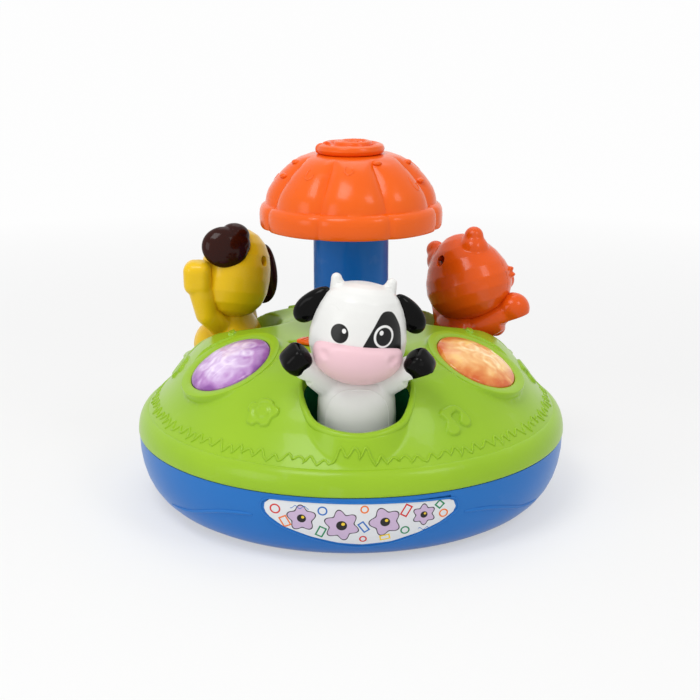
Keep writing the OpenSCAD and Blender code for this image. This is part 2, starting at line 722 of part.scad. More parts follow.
cow_h = 31;
cow_head = [0, 0, 107];
cow_head_r = 22.8;
cow_head_up = 0;
cow_roll = 4;
module cow_head_frame() translate(cow_head) rotate([0, cow_roll, 0]) children();
hoof = [30.5, -14, 98.6];
hoof_r = 6.9;
shoulder = [14, 0, 83];
module mirrored() for (s = [-1, 1]) scale_x(s) children();
module scale_x(s) if (s < 0) mirror([1, 0, 0]) children(); else children();

module cow_spindle() at(cow_at, well_R) spindle();
module cow_body() color("white") at(cow_at, well_R) difference() {
    union() {
        body_shell(cow_h);
        mirrored() rod(shoulder, hoof, arm_r, arm_r);
    }
    mirrored() translate(hoof) sphere(r = hoof_r + slip);
    body_form(toy_wall, cow_h);
    cow_head_frame() head_form(cow_head_r, cow_head_up, -slip);
}
module cow_hooves() color("black") at(cow_at, well_R) mirrored() translate(hoof) sphere(r = hoof_r);
module cow_head_front() color("white") at(cow_at, well_R)
    cow_head_frame() head_front(cow_head_r, cow_head_up);
module cow_head_back() color("white") at(cow_at, well_R) cow_head_frame() {
    head_back(cow_head_r, cow_head_up);
    // horns
    mirrored() limb([10, 3.6, 15.5], [13.6, 3.6, 23], 3.2, 2);
}
module cow_muzzle() color("pink") at(cow_at, well_R) difference() {
    translate([0, -15.5, 96.4]) limb([-9.6, 0, 0], [9.6, 0, 0], 10.6, 10.6);
    cow_head_frame() head_form(cow_head_r, cow_head_up, -slip);
}
module cow_ears() color("black") at(cow_at, well_R) cow_head_frame() mirrored() difference() {
    union() {
        limb([21, 3, 9], [26.5, 1, 8], 3.2, 4.6);
        translate([26, 1, 7.5]) sphere(r = 5);
    }
    head_form(cow_head_r, cow_head_up, -slip);
}

// The dog looks out over its well, one paw raised on its left
dog_h = 34;
dog_head = [0, 1, 112.5];
dog_head_r = 21.5;
dog_head_up = 3.5;
dog_roll = -14;
dog_paw = [27, -9, 104];
dog_low_paw = [-26, -12, 98.5];
paw_r = 6.5;
module dog_head_frame() translate(dog_head) rotate([0, dog_roll, 0]) children();
module dog_spindle() at(dog_at, well_R) spindle();
module dog_body() color("gold") at(dog_at, well_R) difference() {
    union() {
        body_shell(dog_h);
        limb([13, -1, 84], dog_paw, arm_r, paw_r);
        limb([-13, -1, 84], dog_low_paw, arm_r, paw_r);
    }
    body_form(toy_wall, dog_h);
    dog_head_frame() head_form(dog_head_r, dog_head_up, -slip);
}
module dog_head_front() color("gold") at(dog_at, well_R)
    dog_head_frame() head_front(dog_head_r, dog_head_up);
dog_nose_at = [0, -20, -6];
dog_nose_r = 5;
module dog_nose() color("black") at(dog_at, well_R) dog_head_frame() difference() {
    translate(dog_nose_at) sphere(r = dog_nose_r);
    head_form(dog_head_r, dog_head_up, -slip);
}
module dog_head_back() color("gold") at(dog_at, well_R)
    dog_head_frame() head_back(dog_head_r, dog_head_up);
module dog_ears() color("saddlebrown") at(dog_at, well_R) dog_head_frame() mirrored() difference() {
    limb([17, 2, 17], [20.5, 0, 2], 4.6, 5.6);
    head_form(dog_head_r, dog_head_up, -slip);
}

// The cat looks out over its well, one paw forward on its right
cat_h = 34;
cat_head = [0, 1, 108.5];
cat_head_r = 23.2;
cat_head_up = 0;
cat_roll = 14;
cat_paw = [-26, -15, 98.6];
cat_far_paw = [26, -12, 98.6];
module cat_head_frame() translate(cat_head) rotate([0, cat_roll, 0]) children();
module cat_spindle() at(cat_at, well_R) spindle();
module cat_body() color("orangered") at(cat_at, well_R) difference() {
    union() {
        body_shell(cat_h);
        limb([-13, -1, 84], cat_paw, arm_r, paw_r);
        limb([13, -1, 84], cat_far_paw, arm_r, paw_r);
    }
    body_form(toy_wall, cat_h);
    cat_head_frame() head_form(cat_head_r, cat_head_up, -slip);
}
module cat_head_front() color("orangered") at(cat_at, well_R)
    cat_head_frame() head_front(cat_head_r, cat_head_up);
cat_nose_at = [0, -23, -3];
cat_nose_r = 3;
module cat_nose() color("black") at(cat_at, well_R) cat_head_frame() difference() {
    translate(cat_nose_at) sphere(r = cat_nose_r);
    head_form(cat_head_r, cat_head_up, -slip);
}
module cat_head_back() color("orangered") at(cat_at, well_R) cat_head_frame() {
    head_back(cat_head_r, cat_head_up);
    // ears
    mirrored() translate([11, 8.2, 15.5]) rotate([0, 14, 0]) cylinder(r1 = 7.5, r2 = 2.2, h = 13);
}

module head_screws_cow() color("silver") at(cow_at, well_R) cow_head_frame() head_screw();
module head_screws_dog() color("silver") at(dog_at, well_R) dog_head_frame() head_screw();
module head_screws_cat() color("silver") at(cat_at, well_R) cat_head_frame() head_screw();

base_bowl();
dome_shell();
front_cup();
left_cup();
right_cup();
front_label();
battery_door();
battery_door_screw();
batteries();
battery_contacts();
circuit_board();
speaker();
gear_deck();
pump_guide();
pump_spring();
housing_screws();
deck_screws();
guide_screws();
left_button_board();
right_button_board();
rear_button_board();
left_button_spring();
right_button_spring();
rear_button_spring();
left_lens();
right_lens();
rear_lens();
switch_body();
switch_knob();
mushroom_cap();
cap_top_disc();
cap_base();
cap_screws();
pump_column();
drive_bar();
clutch_nut();
sun_gear();
cow_spindle();
cow_body();
cow_head_front();
cow_head_back();
cow_muzzle();
cow_ears();
cow_hooves();
dog_spindle();
dog_body();
dog_head_front();
dog_head_back();
dog_ears();
dog_nose();
cat_spindle();
cat_body();
cat_head_front();
cat_head_back();
cat_nose();
head_screws_cow();
head_screws_dog();
head_screws_cat();
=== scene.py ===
import math
import bpy
from mathutils import Matrix, Quaternion, Vector


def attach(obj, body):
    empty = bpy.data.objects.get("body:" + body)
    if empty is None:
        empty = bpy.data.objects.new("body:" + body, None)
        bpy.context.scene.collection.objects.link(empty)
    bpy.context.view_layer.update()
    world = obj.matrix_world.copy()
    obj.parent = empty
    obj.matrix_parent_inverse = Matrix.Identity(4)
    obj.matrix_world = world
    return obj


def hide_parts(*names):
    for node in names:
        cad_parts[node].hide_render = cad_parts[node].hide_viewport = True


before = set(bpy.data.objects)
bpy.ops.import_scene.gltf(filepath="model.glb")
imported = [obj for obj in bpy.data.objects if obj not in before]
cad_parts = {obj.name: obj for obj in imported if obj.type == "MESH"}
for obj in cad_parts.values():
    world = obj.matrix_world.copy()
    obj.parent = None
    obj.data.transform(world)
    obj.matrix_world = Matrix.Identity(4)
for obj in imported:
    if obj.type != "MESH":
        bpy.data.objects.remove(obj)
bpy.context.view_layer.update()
mm = 0.001
wellReach = 74  # mm from the middle of the toy to the axis of each well


# Small helpers round Blender's own tools
def letGo():
    if bpy.context.object and bpy.context.object.mode != "OBJECT":
        bpy.ops.object.mode_set(mode="OBJECT")
    bpy.ops.object.select_all(action="DESELECT")


def hold(piece):
    letGo()
    piece.select_set(True)
    bpy.context.view_layer.objects.active = piece
    return piece


def added(name, data):
    thing = bpy.data.objects.new(name, data)
    bpy.context.scene.collection.objects.link(thing)
    return thing


def editAll():
    bpy.ops.object.mode_set(mode="EDIT")
    bpy.ops.mesh.select_all(action="SELECT")


def settle(piece, matrix=None):  # puts a piece in place and writes the place into its mesh
    hold(piece)
    if matrix is not None:
        piece.matrix_world = matrix @ piece.matrix_world
    bpy.ops.object.transform_apply(location=True, rotation=True, scale=True)
    return piece


def modify(piece, kind, **settings):
    hold(piece)
    modifier = piece.modifiers.new(kind.lower(), kind)
    for key, value in settings.items():
        setattr(modifier, key, value)
    bpy.ops.object.modifier_apply(modifier=modifier.name)
    return piece


def cleanUp(piece, distance=0.002):  # closes seams and turns the faces out; distance in mm
    hold(piece)
    editAll()
    bpy.ops.mesh.remove_doubles(threshold=distance * mm)
    bpy.ops.mesh.dissolve_degenerate(threshold=1e-6)
    bpy.ops.mesh.normals_make_consistent(inside=False)
    letGo()
    return piece


def shade(piece, angle):
    hold(piece)
    bpy.ops.object.shade_smooth_by_angle(angle=math.radians(angle))
    return piece


def join(name, parts):
    letGo()
    for part in parts:
        part.select_set(True)
    bpy.context.view_layer.objects.active = parts[0]
    if len(parts) > 1:
        bpy.ops.object.join()
    parts[0].name = name
    return parts[0]


def scaled(values):
    return [value * mm for value in values]


def fromCad(node, name):  # a clean copy of a CAD node to work on
    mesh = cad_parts[node].data.copy()
    mesh.materials.clear()
    piece = hold(added(name, mesh))
    if mesh.has_custom_normals:
        bpy.ops.mesh.customdata_custom_splitnormals_clear()
    return cleanUp(piece)


def turned(name, outline, sides=96, closed=False):  # an outline of (radius, height) spun about Z
    letGo()
    bpy.ops.mesh.primitive_plane_add(size=mm)
    piece = bpy.context.object
    piece.name = name
    editAll()
    bpy.ops.mesh.merge(type="CENTER")
    bpy.ops.transform.translate(value=(outline[0][0] * mm, 0, outline[0][1] * mm))
    for (r0, z0), (r1, z1) in zip(outline, outline[1:]):
        step = ((r1 - r0) * mm, 0, (z1 - z0) * mm)
        bpy.ops.mesh.extrude_vertices_move(TRANSFORM_OT_translate={"value": step})
    bpy.ops.mesh.select_all(action="SELECT")
    if closed:
        bpy.ops.object.mode_set(mode="OBJECT")
        ends = (0, len(piece.data.vertices) - 1)
        for vertex in piece.data.vertices:
            vertex.select = vertex.index in ends
        bpy.ops.object.mode_set(mode="EDIT")
        bpy.ops.mesh.edge_face_add()
        bpy.ops.mesh.select_all(action="SELECT")
    bpy.ops.mesh.spin(steps=sides, angle=2 * math.pi, center=(0, 0, 0), axis=(0, 0, 1))
    return cleanUp(piece)


def curved(points, steps=6):  # Catmull-Rom points through an open line
    out = []
    for i in range(len(points) - 1):
        a, b, c, d = (Vector(points[min(max(k, 0), len(points) - 1)]) for k in (i - 1, i, i + 1, i + 2))
        for j in range(steps):
            t = j / steps
            out.append(0.5 * (2 * b + t * (c - a) + t * t * (2 * a - 5 * b + 4 * c - d)
                              + t * t * t * (3 * b - a - 3 * c + d)))
    return out + [Vector(points[-1])]


def looped(points, steps=6):  # the same through a closed line
    count = len(points)
    run = curved([points[-2], points[-1]] + list(points) + [points[0], points[1]], steps)
    return run[2 * steps:(2 + count) * steps]


def ball(at, size, turn=(0, 0, 0), segments=40):
    letGo()
    bpy.ops.mesh.primitive_uv_sphere_add(segments=segments, ring_count=segments // 2, radius=1,
                                         location=scaled(at), rotation=[math.radians(a) for a in turn])
    piece = bpy.context.object
    piece.scale = scaled(size)
    return settle(piece)


def limb(a, b, ra, rb):  # a tapering arm with round ends
    a, b = Vector(a), Vector(b)
    letGo()
    lean = (b - a).to_track_quat("Z", "Y").to_euler()
    bpy.ops.mesh.primitive_cone_add(vertices=40, radius1=ra * mm, radius2=rb * mm, depth=(b - a).length * mm,
                                    location=scaled((a + b) / 2), rotation=lean)
    bar = settle(bpy.context.object)
    return join("limb", [bar, ball(a, (ra, ra, ra)), ball(b, (rb, rb, rb))])


def fused(name, parts, voxel, rounds):  # parts melted into one moulded skin
    piece = join(name, parts)
    modify(piece, "REMESH", mode="VOXEL", voxel_size=voxel * mm)
    return modify(piece, "SMOOTH", factor=0.5, iterations=rounds)


def bead(name, runs, radius, closed=False, taper=0.0):  # a raised line along each run of points
    curve = bpy.data.curves.new(name, "CURVE")
    curve.dimensions = "3D"
    curve.bevel_depth = radius * mm
    curve.bevel_resolution = 2
    curve.use_fill_caps = True
    for run in runs:
        spline = curve.splines.new("POLY")
        spline.points.add(len(run) - 1)
        for index, (point, place) in enumerate(zip(spline.points, run)):
            point.co = (*place, 1)
            if taper:  # thinner towards both ends
                point.radius = 1 - taper * abs(2 * index / (len(run) - 1) - 1) ** 3
        spline.use_cyclic_u = closed
    hold(added(name, curve))
    bpy.ops.object.convert(target="MESH")
    return cleanUp(bpy.context.object)


def atAngle(angle, radius, height=0.0, tilt=0.0):  # a place round the toy, in degrees from the front
    return (Matrix.Rotation(math.radians(angle), 4, "Z") @ Matrix.Translation((0, -radius * mm, height * mm))
            @ Matrix.Rotation(math.radians(tilt), 4, "X"))


# Finishes
def worked(operation, swap=False):  # a method of Value that adds one node of this kind
    return lambda self, other=None: self.math(operation, other, swap)


class Value:  # one output of a node; sums and products of values add their nodes
    def __init__(self, paint, socket):
        self.paint, self.socket = paint, socket

    def math(self, operation, other=None, swap=False, clamp=False):
        pair = [self] if other is None else ([other, self] if swap else [self, other])
        settings = {"operation": operation, "use_clamp": clamp}
        return self.paint.make("ShaderNodeMath", settings, dict(enumerate(pair)))

    __add__ = __radd__ = worked("ADD")
    __mul__ = __rmul__ = worked("MULTIPLY")
    __sub__, __rsub__ = worked("SUBTRACT"), worked("SUBTRACT", swap=True)
    __truediv__, __pow__, __abs__ = worked("DIVIDE"), worked("POWER"), worked("ABSOLUTE")
    high, wave = worked("MAXIMUM"), worked("SINE")

    def clamp(self):
        return self.math("ADD", 0.0, clamp=True)


class Paint:  # the nodes of a material, or of a ready tree, in the making
    def __init__(self, name="", tree=None, **constants):
        if tree is None:
            self.material = bpy.data.materials.new(name)
            self.material.use_nodes = True
            tree = self.material.node_tree
            self.shader = tree.nodes["Principled BSDF"]
        self.tree = tree
        for key, value in constants.items():
            self.shader.inputs[key.replace("_", " ")].default_value = value

    def make(self, kind, settings=None, inputs=None, out=0):
        node = self.tree.nodes.new(kind)
        for key, value in (settings or {}).items():
            if key == "stops":
                for index, (place, colour) in enumerate(value):
                    stop = node.color_ramp.elements[index] if index < 2 else node.color_ramp.elements.new(place)
                    stop.position, stop.color = place, colour
            else:
                setattr(node, key, value)
        for key, value in (inputs or {}).items():
            if isinstance(value, Value):
                self.tree.links.new(value.socket, node.inputs[key])
            else:
                node.inputs[key].default_value = value
        return Value(self, node.outputs[out])

    def place(self, at=(0, 0, 0), turn=(0, 0, 0)):  # object coordinates in mm, centred and turned on a feature
        coords = self.make("ShaderNodeTexCoord", out=3)
        inputs = {0: coords, 1: scaled(at), 2: [math.radians(a) for a in turn], 3: (mm, mm, mm)}
        return self.make("ShaderNodeMapping", {"vector_type": "TEXTURE"}, inputs)

    def axes(self, vector=None):
        vector = vector or self.place()
        return [self.make("ShaderNodeSeparateXYZ", inputs={0: vector}, out=i) for i in range(3)]

    def noise(self, vector, scale, detail=2.0, distortion=0.0):
        inputs = {"Vector": vector, "Scale": scale, "Detail": detail, "Distortion": distortion}
        return self.make("ShaderNodeTexNoise", inputs=inputs)

    def blend(self, factor, a, b):
        return self.make("ShaderNodeMix", {"data_type": "RGBA"}, {0: factor, 6: a, 7: b}, out=2)

    def seen(self):  # 1 where the camera looks, straight, by a reflection or through a clear piece
        kinds = ("Is Camera Ray", "Is Glossy Ray", "Is Transmission Ray")
        rays = [self.make("ShaderNodeLightPath", out=kind) for kind in kinds]
        return rays[0].high(rays[1]).high(rays[2])

    def feed(self, **sockets):
        for key, value in sockets.items():
            self.tree.links.new(value.socket, self.shader.inputs[key.replace("_", " ")])


def tone(*channels):  # a colour from the usual 0 to 255 values
    return tuple([((c / 255 + 0.055) / 1.055) ** 2.4 if c > 10 else c / 3295 for c in channels] + [1.0])


def shaded(colour, share):
    return tuple([min(c * share, 1.0) for c in colour[:3]] + [1.0])


# Moulded plastic: a slow drift of tone, a few rubbed spots and a fine orange-peel skin
def plastic(name, colour, rough=0.26, coat=0.12, drift=0.03, skin=0.04, warm=None, marks=None, **constants):
    settings = {"Coat_Roughness": 0.06, "Specular_IOR_Level": 0.2}
    settings.update(constants)
    paint = Paint(name, **settings)
    place = paint.place()
    cloud = paint.noise(place, 0.022, 2.0)
    grain = paint.noise(place, 1.6, 2.0)
    rub = paint.noise(place, 0.09, 5.0, 0.4)
    base = paint.blend(cloud, shaded(colour, 1 - drift), warm or shaded(colour, 1 + drift))
    if marks:
        base = marks(paint, base)
    worn = ((rub - 0.62) * 5).clamp()
    bump = {"Strength": skin, "Distance": 0.25 * mm, "Height": grain}
    paint.feed(Base_Color=paint.blend(worn * 0.03, base, (1, 1, 1, 1)),
               Roughness=rough + (cloud - 0.5) * 0.05 + worn * 0.06 + (grain - 0.5) * 0.03,
               Coat_Weight=coat - worn * 0.08,
               Normal=paint.make("ShaderNodeBump", inputs=bump))
    return paint.material


def spot(x, z, cx, cz, rx, rz, edge=0.25):  # 1 inside an oval, 0 outside, in mm
    dx, dz = (x - cx) / rx, (z - cz) / rz
    return (0.5 - ((dx * dx + dz * dz) ** 0.5 - 1) * (min(rx, rz) / edge)).clamp()


def dress(piece, material):
    piece.data.materials.clear()
    piece.data.materials.append(material)
    return piece


def hand(piece, material, slot, *nodes, body="root", smooth=60):  # hands a finished piece to the frame
    shade(piece, smooth)
    dress(piece, material)
    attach(piece, body)
    if nodes:
        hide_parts(*nodes)
    return piece


green = plastic("moulded green", tone(144, 188, 36), 0.3, 0.12, warm=tone(158, 198, 40))
# a much darker green for the well liners, taken from the shaded inside of the wells, so it is partly painted shade
shadedWellGreen = plastic("well green with painted shade", tone(18, 98, 58), 0.45, 0.03)
blue = plastic("moulded blue", tone(40, 114, 192), 0.3, 0.06, warm=tone(46, 120, 198), Specular_IOR_Level=0.12)
navy = plastic("moulded column blue", tone(12, 104, 192), 0.3, 0.08, Specular_IOR_Level=0.15)
orange = plastic("moulded orange", tone(237, 90, 12), 0.24, 0.12, warm=tone(242, 104, 16))
glossBlack = plastic("glossy black", tone(9, 9, 9), 0.12, 0.03, drift=0.1, Specular_IOR_Level=0.08)
print("finishes ready")

# Dome
lensSeat = {"reach": 73, "height": 79.5, "tilt": 26}
lensAngles = {"left": -60, "right": 60, "rear": 180}
domeLook = {"voxel": 1.0, "rounds": 7, "faces": 0.62, "ringLow": 0.4, "ringHigh": 6, "ringInner": 21.6,
            "ringOuter": 28.8, "ringShare": 0.12}


def atLens(angle):
    return atAngle(angle, lensSeat["reach"], lensSeat["height"], lensSeat["tilt"])


dome = fused("dome", [fromCad("dome_shell", "dome")], domeLook["voxel"], domeLook["rounds"])
modify(dome, "DECIMATE", ratio=domeLook["faces"])
for angle in lensAngles.values():  # the ring round each lens is low and soft
    place = atLens(angle)
    back = place.inverted()
    for vertex in dome.data.vertices:
        at = back @ vertex.co / mm
        low, high = domeLook["ringLow"], domeLook["ringHigh"]
        if low < at.z < high and domeLook["ringInner"] < math.hypot(at.x, at.y) < domeLook["ringOuter"]:
            at.z = low + (at.z - low) * domeLook["ringShare"]
            vertex.co = place @ (at * mm)
hand(dome, green, "green_plastic", "dome_shell")
print("dome", len(dome.data.polygons))


def hitOn(piece, start, way, lift):  # the place where a ray meets a piece, raised by lift
    hit, place, normal, face = piece.ray_cast(start, way)
    return place + normal * lift * mm if hit else None


def dropOn(piece, x, y, lift=0.0):  # the same right under (x, y) in mm
    return hitOn(piece, (x * mm, y * mm, 0.3), (0, 0, -1), lift)


def onDome(angle, radius, lift=0.0):
    turn = math.radians(angle)
    return dropOn(dome, radius * math.sin(turn), -radius * math.cos(turn), lift)


# Shoulder roll above the seam
rollLook = {"sides": 180, "outline": [
    (108.6, 48.6), (109.9, 48.75), (111.2, 48.2), (112.6, 46.9), (113.9, 44.8), (114.8, 42.3), (115.25, 39.6),
    (115.2, 37.0), (113.2, 37.0), (111.6, 42), (109.4, 46.2)]}
roll = turned("shoulderRoll", curved(rollLook["outline"], 3), rollLook["sides"], closed=True)
hand(roll, green, "green_plastic")

# Raised ring round each lens, and the thick lip of each well
bezelLook = {"sides": 128, "outline": [
    (22.35, -3), (22.35, 0.1), (22.6, 0.6), (23.2, 0.9), (24.6, 1.05), (26.6, 1.15), (27.4, 0.95), (27.8, 0.3),
    (27.9, -3)]}
for side, angle in lensAngles.items():
    ring = turned(side + "Bezel", bezelLook["outline"], bezelLook["sides"], closed=True)
    settle(ring, atLens(angle))
    hand(ring, green, "green_plastic", smooth=35)

lipLook = {"radius": 27.9, "thick": 2.3, "drop": 1.2, "reach": 98, "lowest": 58}
for name, angle in (("frontLip", 0), ("leftLip", -120), ("rightLip", 120)):
    well, run = atAngle(angle, wellReach), []
    for step in range(-lipLook["reach"], lipLook["reach"] + 1, 4):
        turn = math.radians(step)
        at = well @ Vector(scaled((lipLook["radius"] * math.sin(turn), -lipLook["radius"] * math.cos(turn), 0)))
        place = dropOn(dome, at.x / mm, at.y / mm)
        if place is not None and place.z > lipLook["lowest"] * mm:
            run.append(place)
    for again in range(3):  # evened out along the rim
        run = [run[0]] + [(a + 2 * b + c) / 4 for a, b, c in zip(run, run[1:], run[2:])] + [run[-1]]
    run = [place - Vector((0, 0, lipLook["drop"] * mm)) for place in curved(run, 3)]
    hand(bead(name, [run], lipLook["thick"], taper=0.65), green, "green_plastic")

# Grass line: uneven blades all the way round, over the flare of each well too
grassLook = {"foot": 107.4, "blades": 104, "tall": 4.4, "uneven": 0.3, "sway": 0.8, "lean": 0.16, "crest": 0.7,
             "front": 0.4, "frontReach": 26, "arch": [
    (0, 0), (0.2, 0.4), (0.33, 0.78), (0.43, 0.96), (0.52, 1), (0.61, 0.94), (0.72, 0.7), (0.88, 0.22)]}
run = []
for i in range(grassLook["blades"]):
    uneven = 1 + grassLook["uneven"] * (math.sin(i * 2.4) * math.cos(i * 0.7) - 1)
    middle = (360 * i / grassLook["blades"] + 180) % 360 - 180
    tall = grassLook["tall"] * uneven * (1 - grassLook["front"] * math.exp(-(middle / grassLook["frontReach"]) ** 2))
    foot = grassLook["foot"] + grassLook["sway"] * math.sin(i * 1.7)
    for phase, reach in grassLook["arch"]:
        angle = 360 * (i + phase + grassLook["lean"] * math.sin(i * 1.3)) / grassLook["blades"]
        place = onDome(angle, foot - reach * tall, -0.1)
        if place is not None:
            run.append(place)
grass = bead("grass", [run], grassLook["crest"], closed=True)

# Flowers, notes and leaves, raised a little with soft edges
reliefLook = {"tall": 1.3, "edge": 0.85, "sunk": 0.4, "margin": 1.3, "step": 0.4, "wall": 0.9}


def depthIn(outline, u, v):  # mm inside a drawing's edge, below zero outside
    nearest, within = 1e9, False
    for (u0, v0), (u1, v1) in zip(outline, outline[1:] + outline[:1]):
        du, dv = u1 - u0, v1 - v0
        t = min(max(((u - u0) * du + (v - v0) * dv) / (du * du + dv * dv + 1e-9), 0), 1)
        nearest = min(nearest, math.hypot(u - u0 - t * du, v - v0 - t * dv))
        if (v0 > v) != (v1 > v) and u < u0 + (v - v0) * du / dv:
            within = not within
    return nearest if within else -nearest


def pad(name, outline, angle, radius, groove=None):  # drawing in mm, across and outward
    look = reliefLook
    outline = [tuple(p) for p in outline]
    low = [min(p[k] for p in outline) - look["margin"] for k in (0, 1)]
    high = [max(p[k] for p in outline) + look["margin"] for k in (0, 1)]
    letGo()
    bpy.ops.mesh.primitive_grid_add(x_subdivisions=int((high[0] - low[0]) / look["step"]),
                                    y_subdivisions=int((high[1] - low[1]) / look["step"]), size=2)
    piece = bpy.context.object
    for vertex in piece.data.vertices:
        u = low[0] + (high[0] - low[0]) * (vertex.co.x + 1) / 2
        v = high[1] - (high[1] - low[1]) * (vertex.co.y + 1) / 2
        rise = min(max(depthIn(outline, u, v) / look["edge"] + 0.5, 0), 1)
        lift = look["tall"] * rise * rise * (3 - 2 * rise) - look["sunk"] * (1 - rise)
        if groove:
            lift -= groove(u, v)
        vertex.co = onDome(angle + math.degrees(u / radius), radius + v, lift)
    modify(piece, "SOLIDIFY", thickness=look["wall"] * mm, offset=-1)
    piece.name = name
    return cleanUp(piece)


def eyeGroove(u, v):  # the ring round a flower's middle
    gap = (math.hypot(u / 4.4, (v + 0.2) / 2.5) - 1) * 3.4
    return 0.6 * math.exp(-(gap / 0.95) ** 2)


def veinGroove(u, v):  # the line down a leaf
    return 0.45 * math.exp(-(v / 0.5) ** 2)


flowerLine = looped([
    (-0.5, -4.7), (3.6, -4.1), (4.9, -2.8), (8.2, -1.8), (8.3, 0.3), (5.7, 1.7), (5.0, 3.8), (1.7, 4.6), (-0.6, 3.7),
    (-3.2, 4.7), (-6.7, 4.0), (-6.9, 1.3), (-8.8, -0.3), (-7.7, -2.5), (-4.7, -2.7), (-3.5, -4.3)], 4)
noteLine = looped([
    (-6.9, -3.2), (-3.4, -4.0), (1.4, -4.4), (4.6, -3.4), (6.8, -1.4), (8.2, 0.8), (7.4, 2.6), (5.0, 3.2), (2.9, 2.4),
    (2.0, 0.9), (3.4, -0.4), (3.6, -1.4), (2.2, -2.3), (0.2, -1.9), (-1.9, -1.0), (-0.6, 0.6), (0.6, 2.4), (0.1, 4.2),
    (-2.3, 5.2), (-5.2, 4.9), (-6.6, 3.4), (-6.4, 1.6), (-5.4, 0.4), (-6.4, -0.8), (-8.0, -2.0)], 4)
leafLine = looped([(4.4, 0), (2.6, 1.5), (0, 2.0), (-2.4, 1.5), (-4.4, 0), (-2.4, -1.5), (0, -2.0), (2.6, -1.5)], 4)
pads = [grass]
for name, line, reach, groove, angles in (
        ("flower", flowerLine, 92.3, eyeGroove, (-29.6, -90.4, 149.6)),
        ("note", noteLine, 95.4, None, (29.9, 89.9, -150.1)),
        ("leaf", leafLine, 64, veinGroove, (-31.5, 31.5, 88.5, -88.5, 151.5, -151.5))):
    pads += [pad(name, line, angle, reach, groove) for angle in angles]
reliefs = join("domeReliefs", pads)
hand(reliefs, green, "green_plastic")
print("dome reliefs", len(reliefs.data.polygons))

# Base, wells and column
bowlLook = {"foot": 90, "seam": 115, "height": 36.4, "bulge": 2.32, "round": 2.25, "wave": 1.1, "waveLine": [
    (58.5, 11.8), (53, 13.2), (47.8, 15.0), (42.4, 18.2), (37.5, 21.1), (33.4, 22.8), (29.4, 23.7), (26.6, 24.0)]}
bowl = hand(fromCad("base_bowl", "bowl"), blue, "blue_plastic", "base_bowl", smooth=28)


def onBowl(angle, z, lift=0.0):  # the place on the bowl's outside at an angle and a height
    share = min(max(z / bowlLook["height"], 0), 1)
    swell = (1 - (1 - share) ** bowlLook["bulge"]) ** (1 / bowlLook["round"])
    radius = bowlLook["foot"] + (bowlLook["seam"] - bowlLook["foot"]) * swell
    return atAngle(angle, radius + lift, z).translation


waveRuns = []
for side in (-1, 1):
    waveRuns.append([onBowl(side * angle, z, -0.3) for angle, z in curved(bowlLook["waveLine"], 5)])
hand(bead("bowlWaves", waveRuns, bowlLook["wave"], taper=0.5), blue, "blue_plastic")

for side in ("front", "left", "right"):
    # the liners take the darker green, which is partly painted shade
    hand(fromCad(side + "_cup", side + "Liner"), shadedWellGreen, "dark_green_plastic", side + "_cup", smooth=30)
hand(fromCad("pump_column", "pumpColumn"), navy, "column_blue", "pump_column", body="pump", smooth=30)

# Printed label in its recess
labelLook = {
    "left": -44.9, "right": 45.9, "reach": 114, "lift": 0.12, "thick": 0.3, "border": 1.5, "frame": 0.5,
    "frameTop": 35.2, "film": (228, 230, 232),
    "top": [(-44.9, 29.2), (-44.5, 31.6), (-42.2, 33.7), (-36.4, 34.1), (-10.6, 33.8), (15.2, 33.5), (28.3, 33.2),
            (41.7, 32.7), (44.7, 31.4), (45.9, 28.2)],
    "bottom": [(-44.9, 29.2), (-44.3, 26.8), (-42.4, 24.5), (-36.6, 20.2), (-23.6, 15.4), (-10.6, 12.2), (1.2, 11.0),
               (15.6, 12.4), (28.8, 16.6), (38.8, 21.0), (44.8, 25.4), (45.9, 28.2)]}


def onLabel(x, z, lift=0.0):  # the place on the bowl of a point of the label, across and up
    return onBowl(math.degrees(math.asin(x / labelLook["reach"])), z, lift)


def along(line, x):  # height of an outline at x
    for (x0, z0), (x1, z1) in zip(line, line[1:]):
        if x <= x1:
            return z0 + (z1 - z0) * (x - x0) / (x1 - x0)
    return line[-1][1]


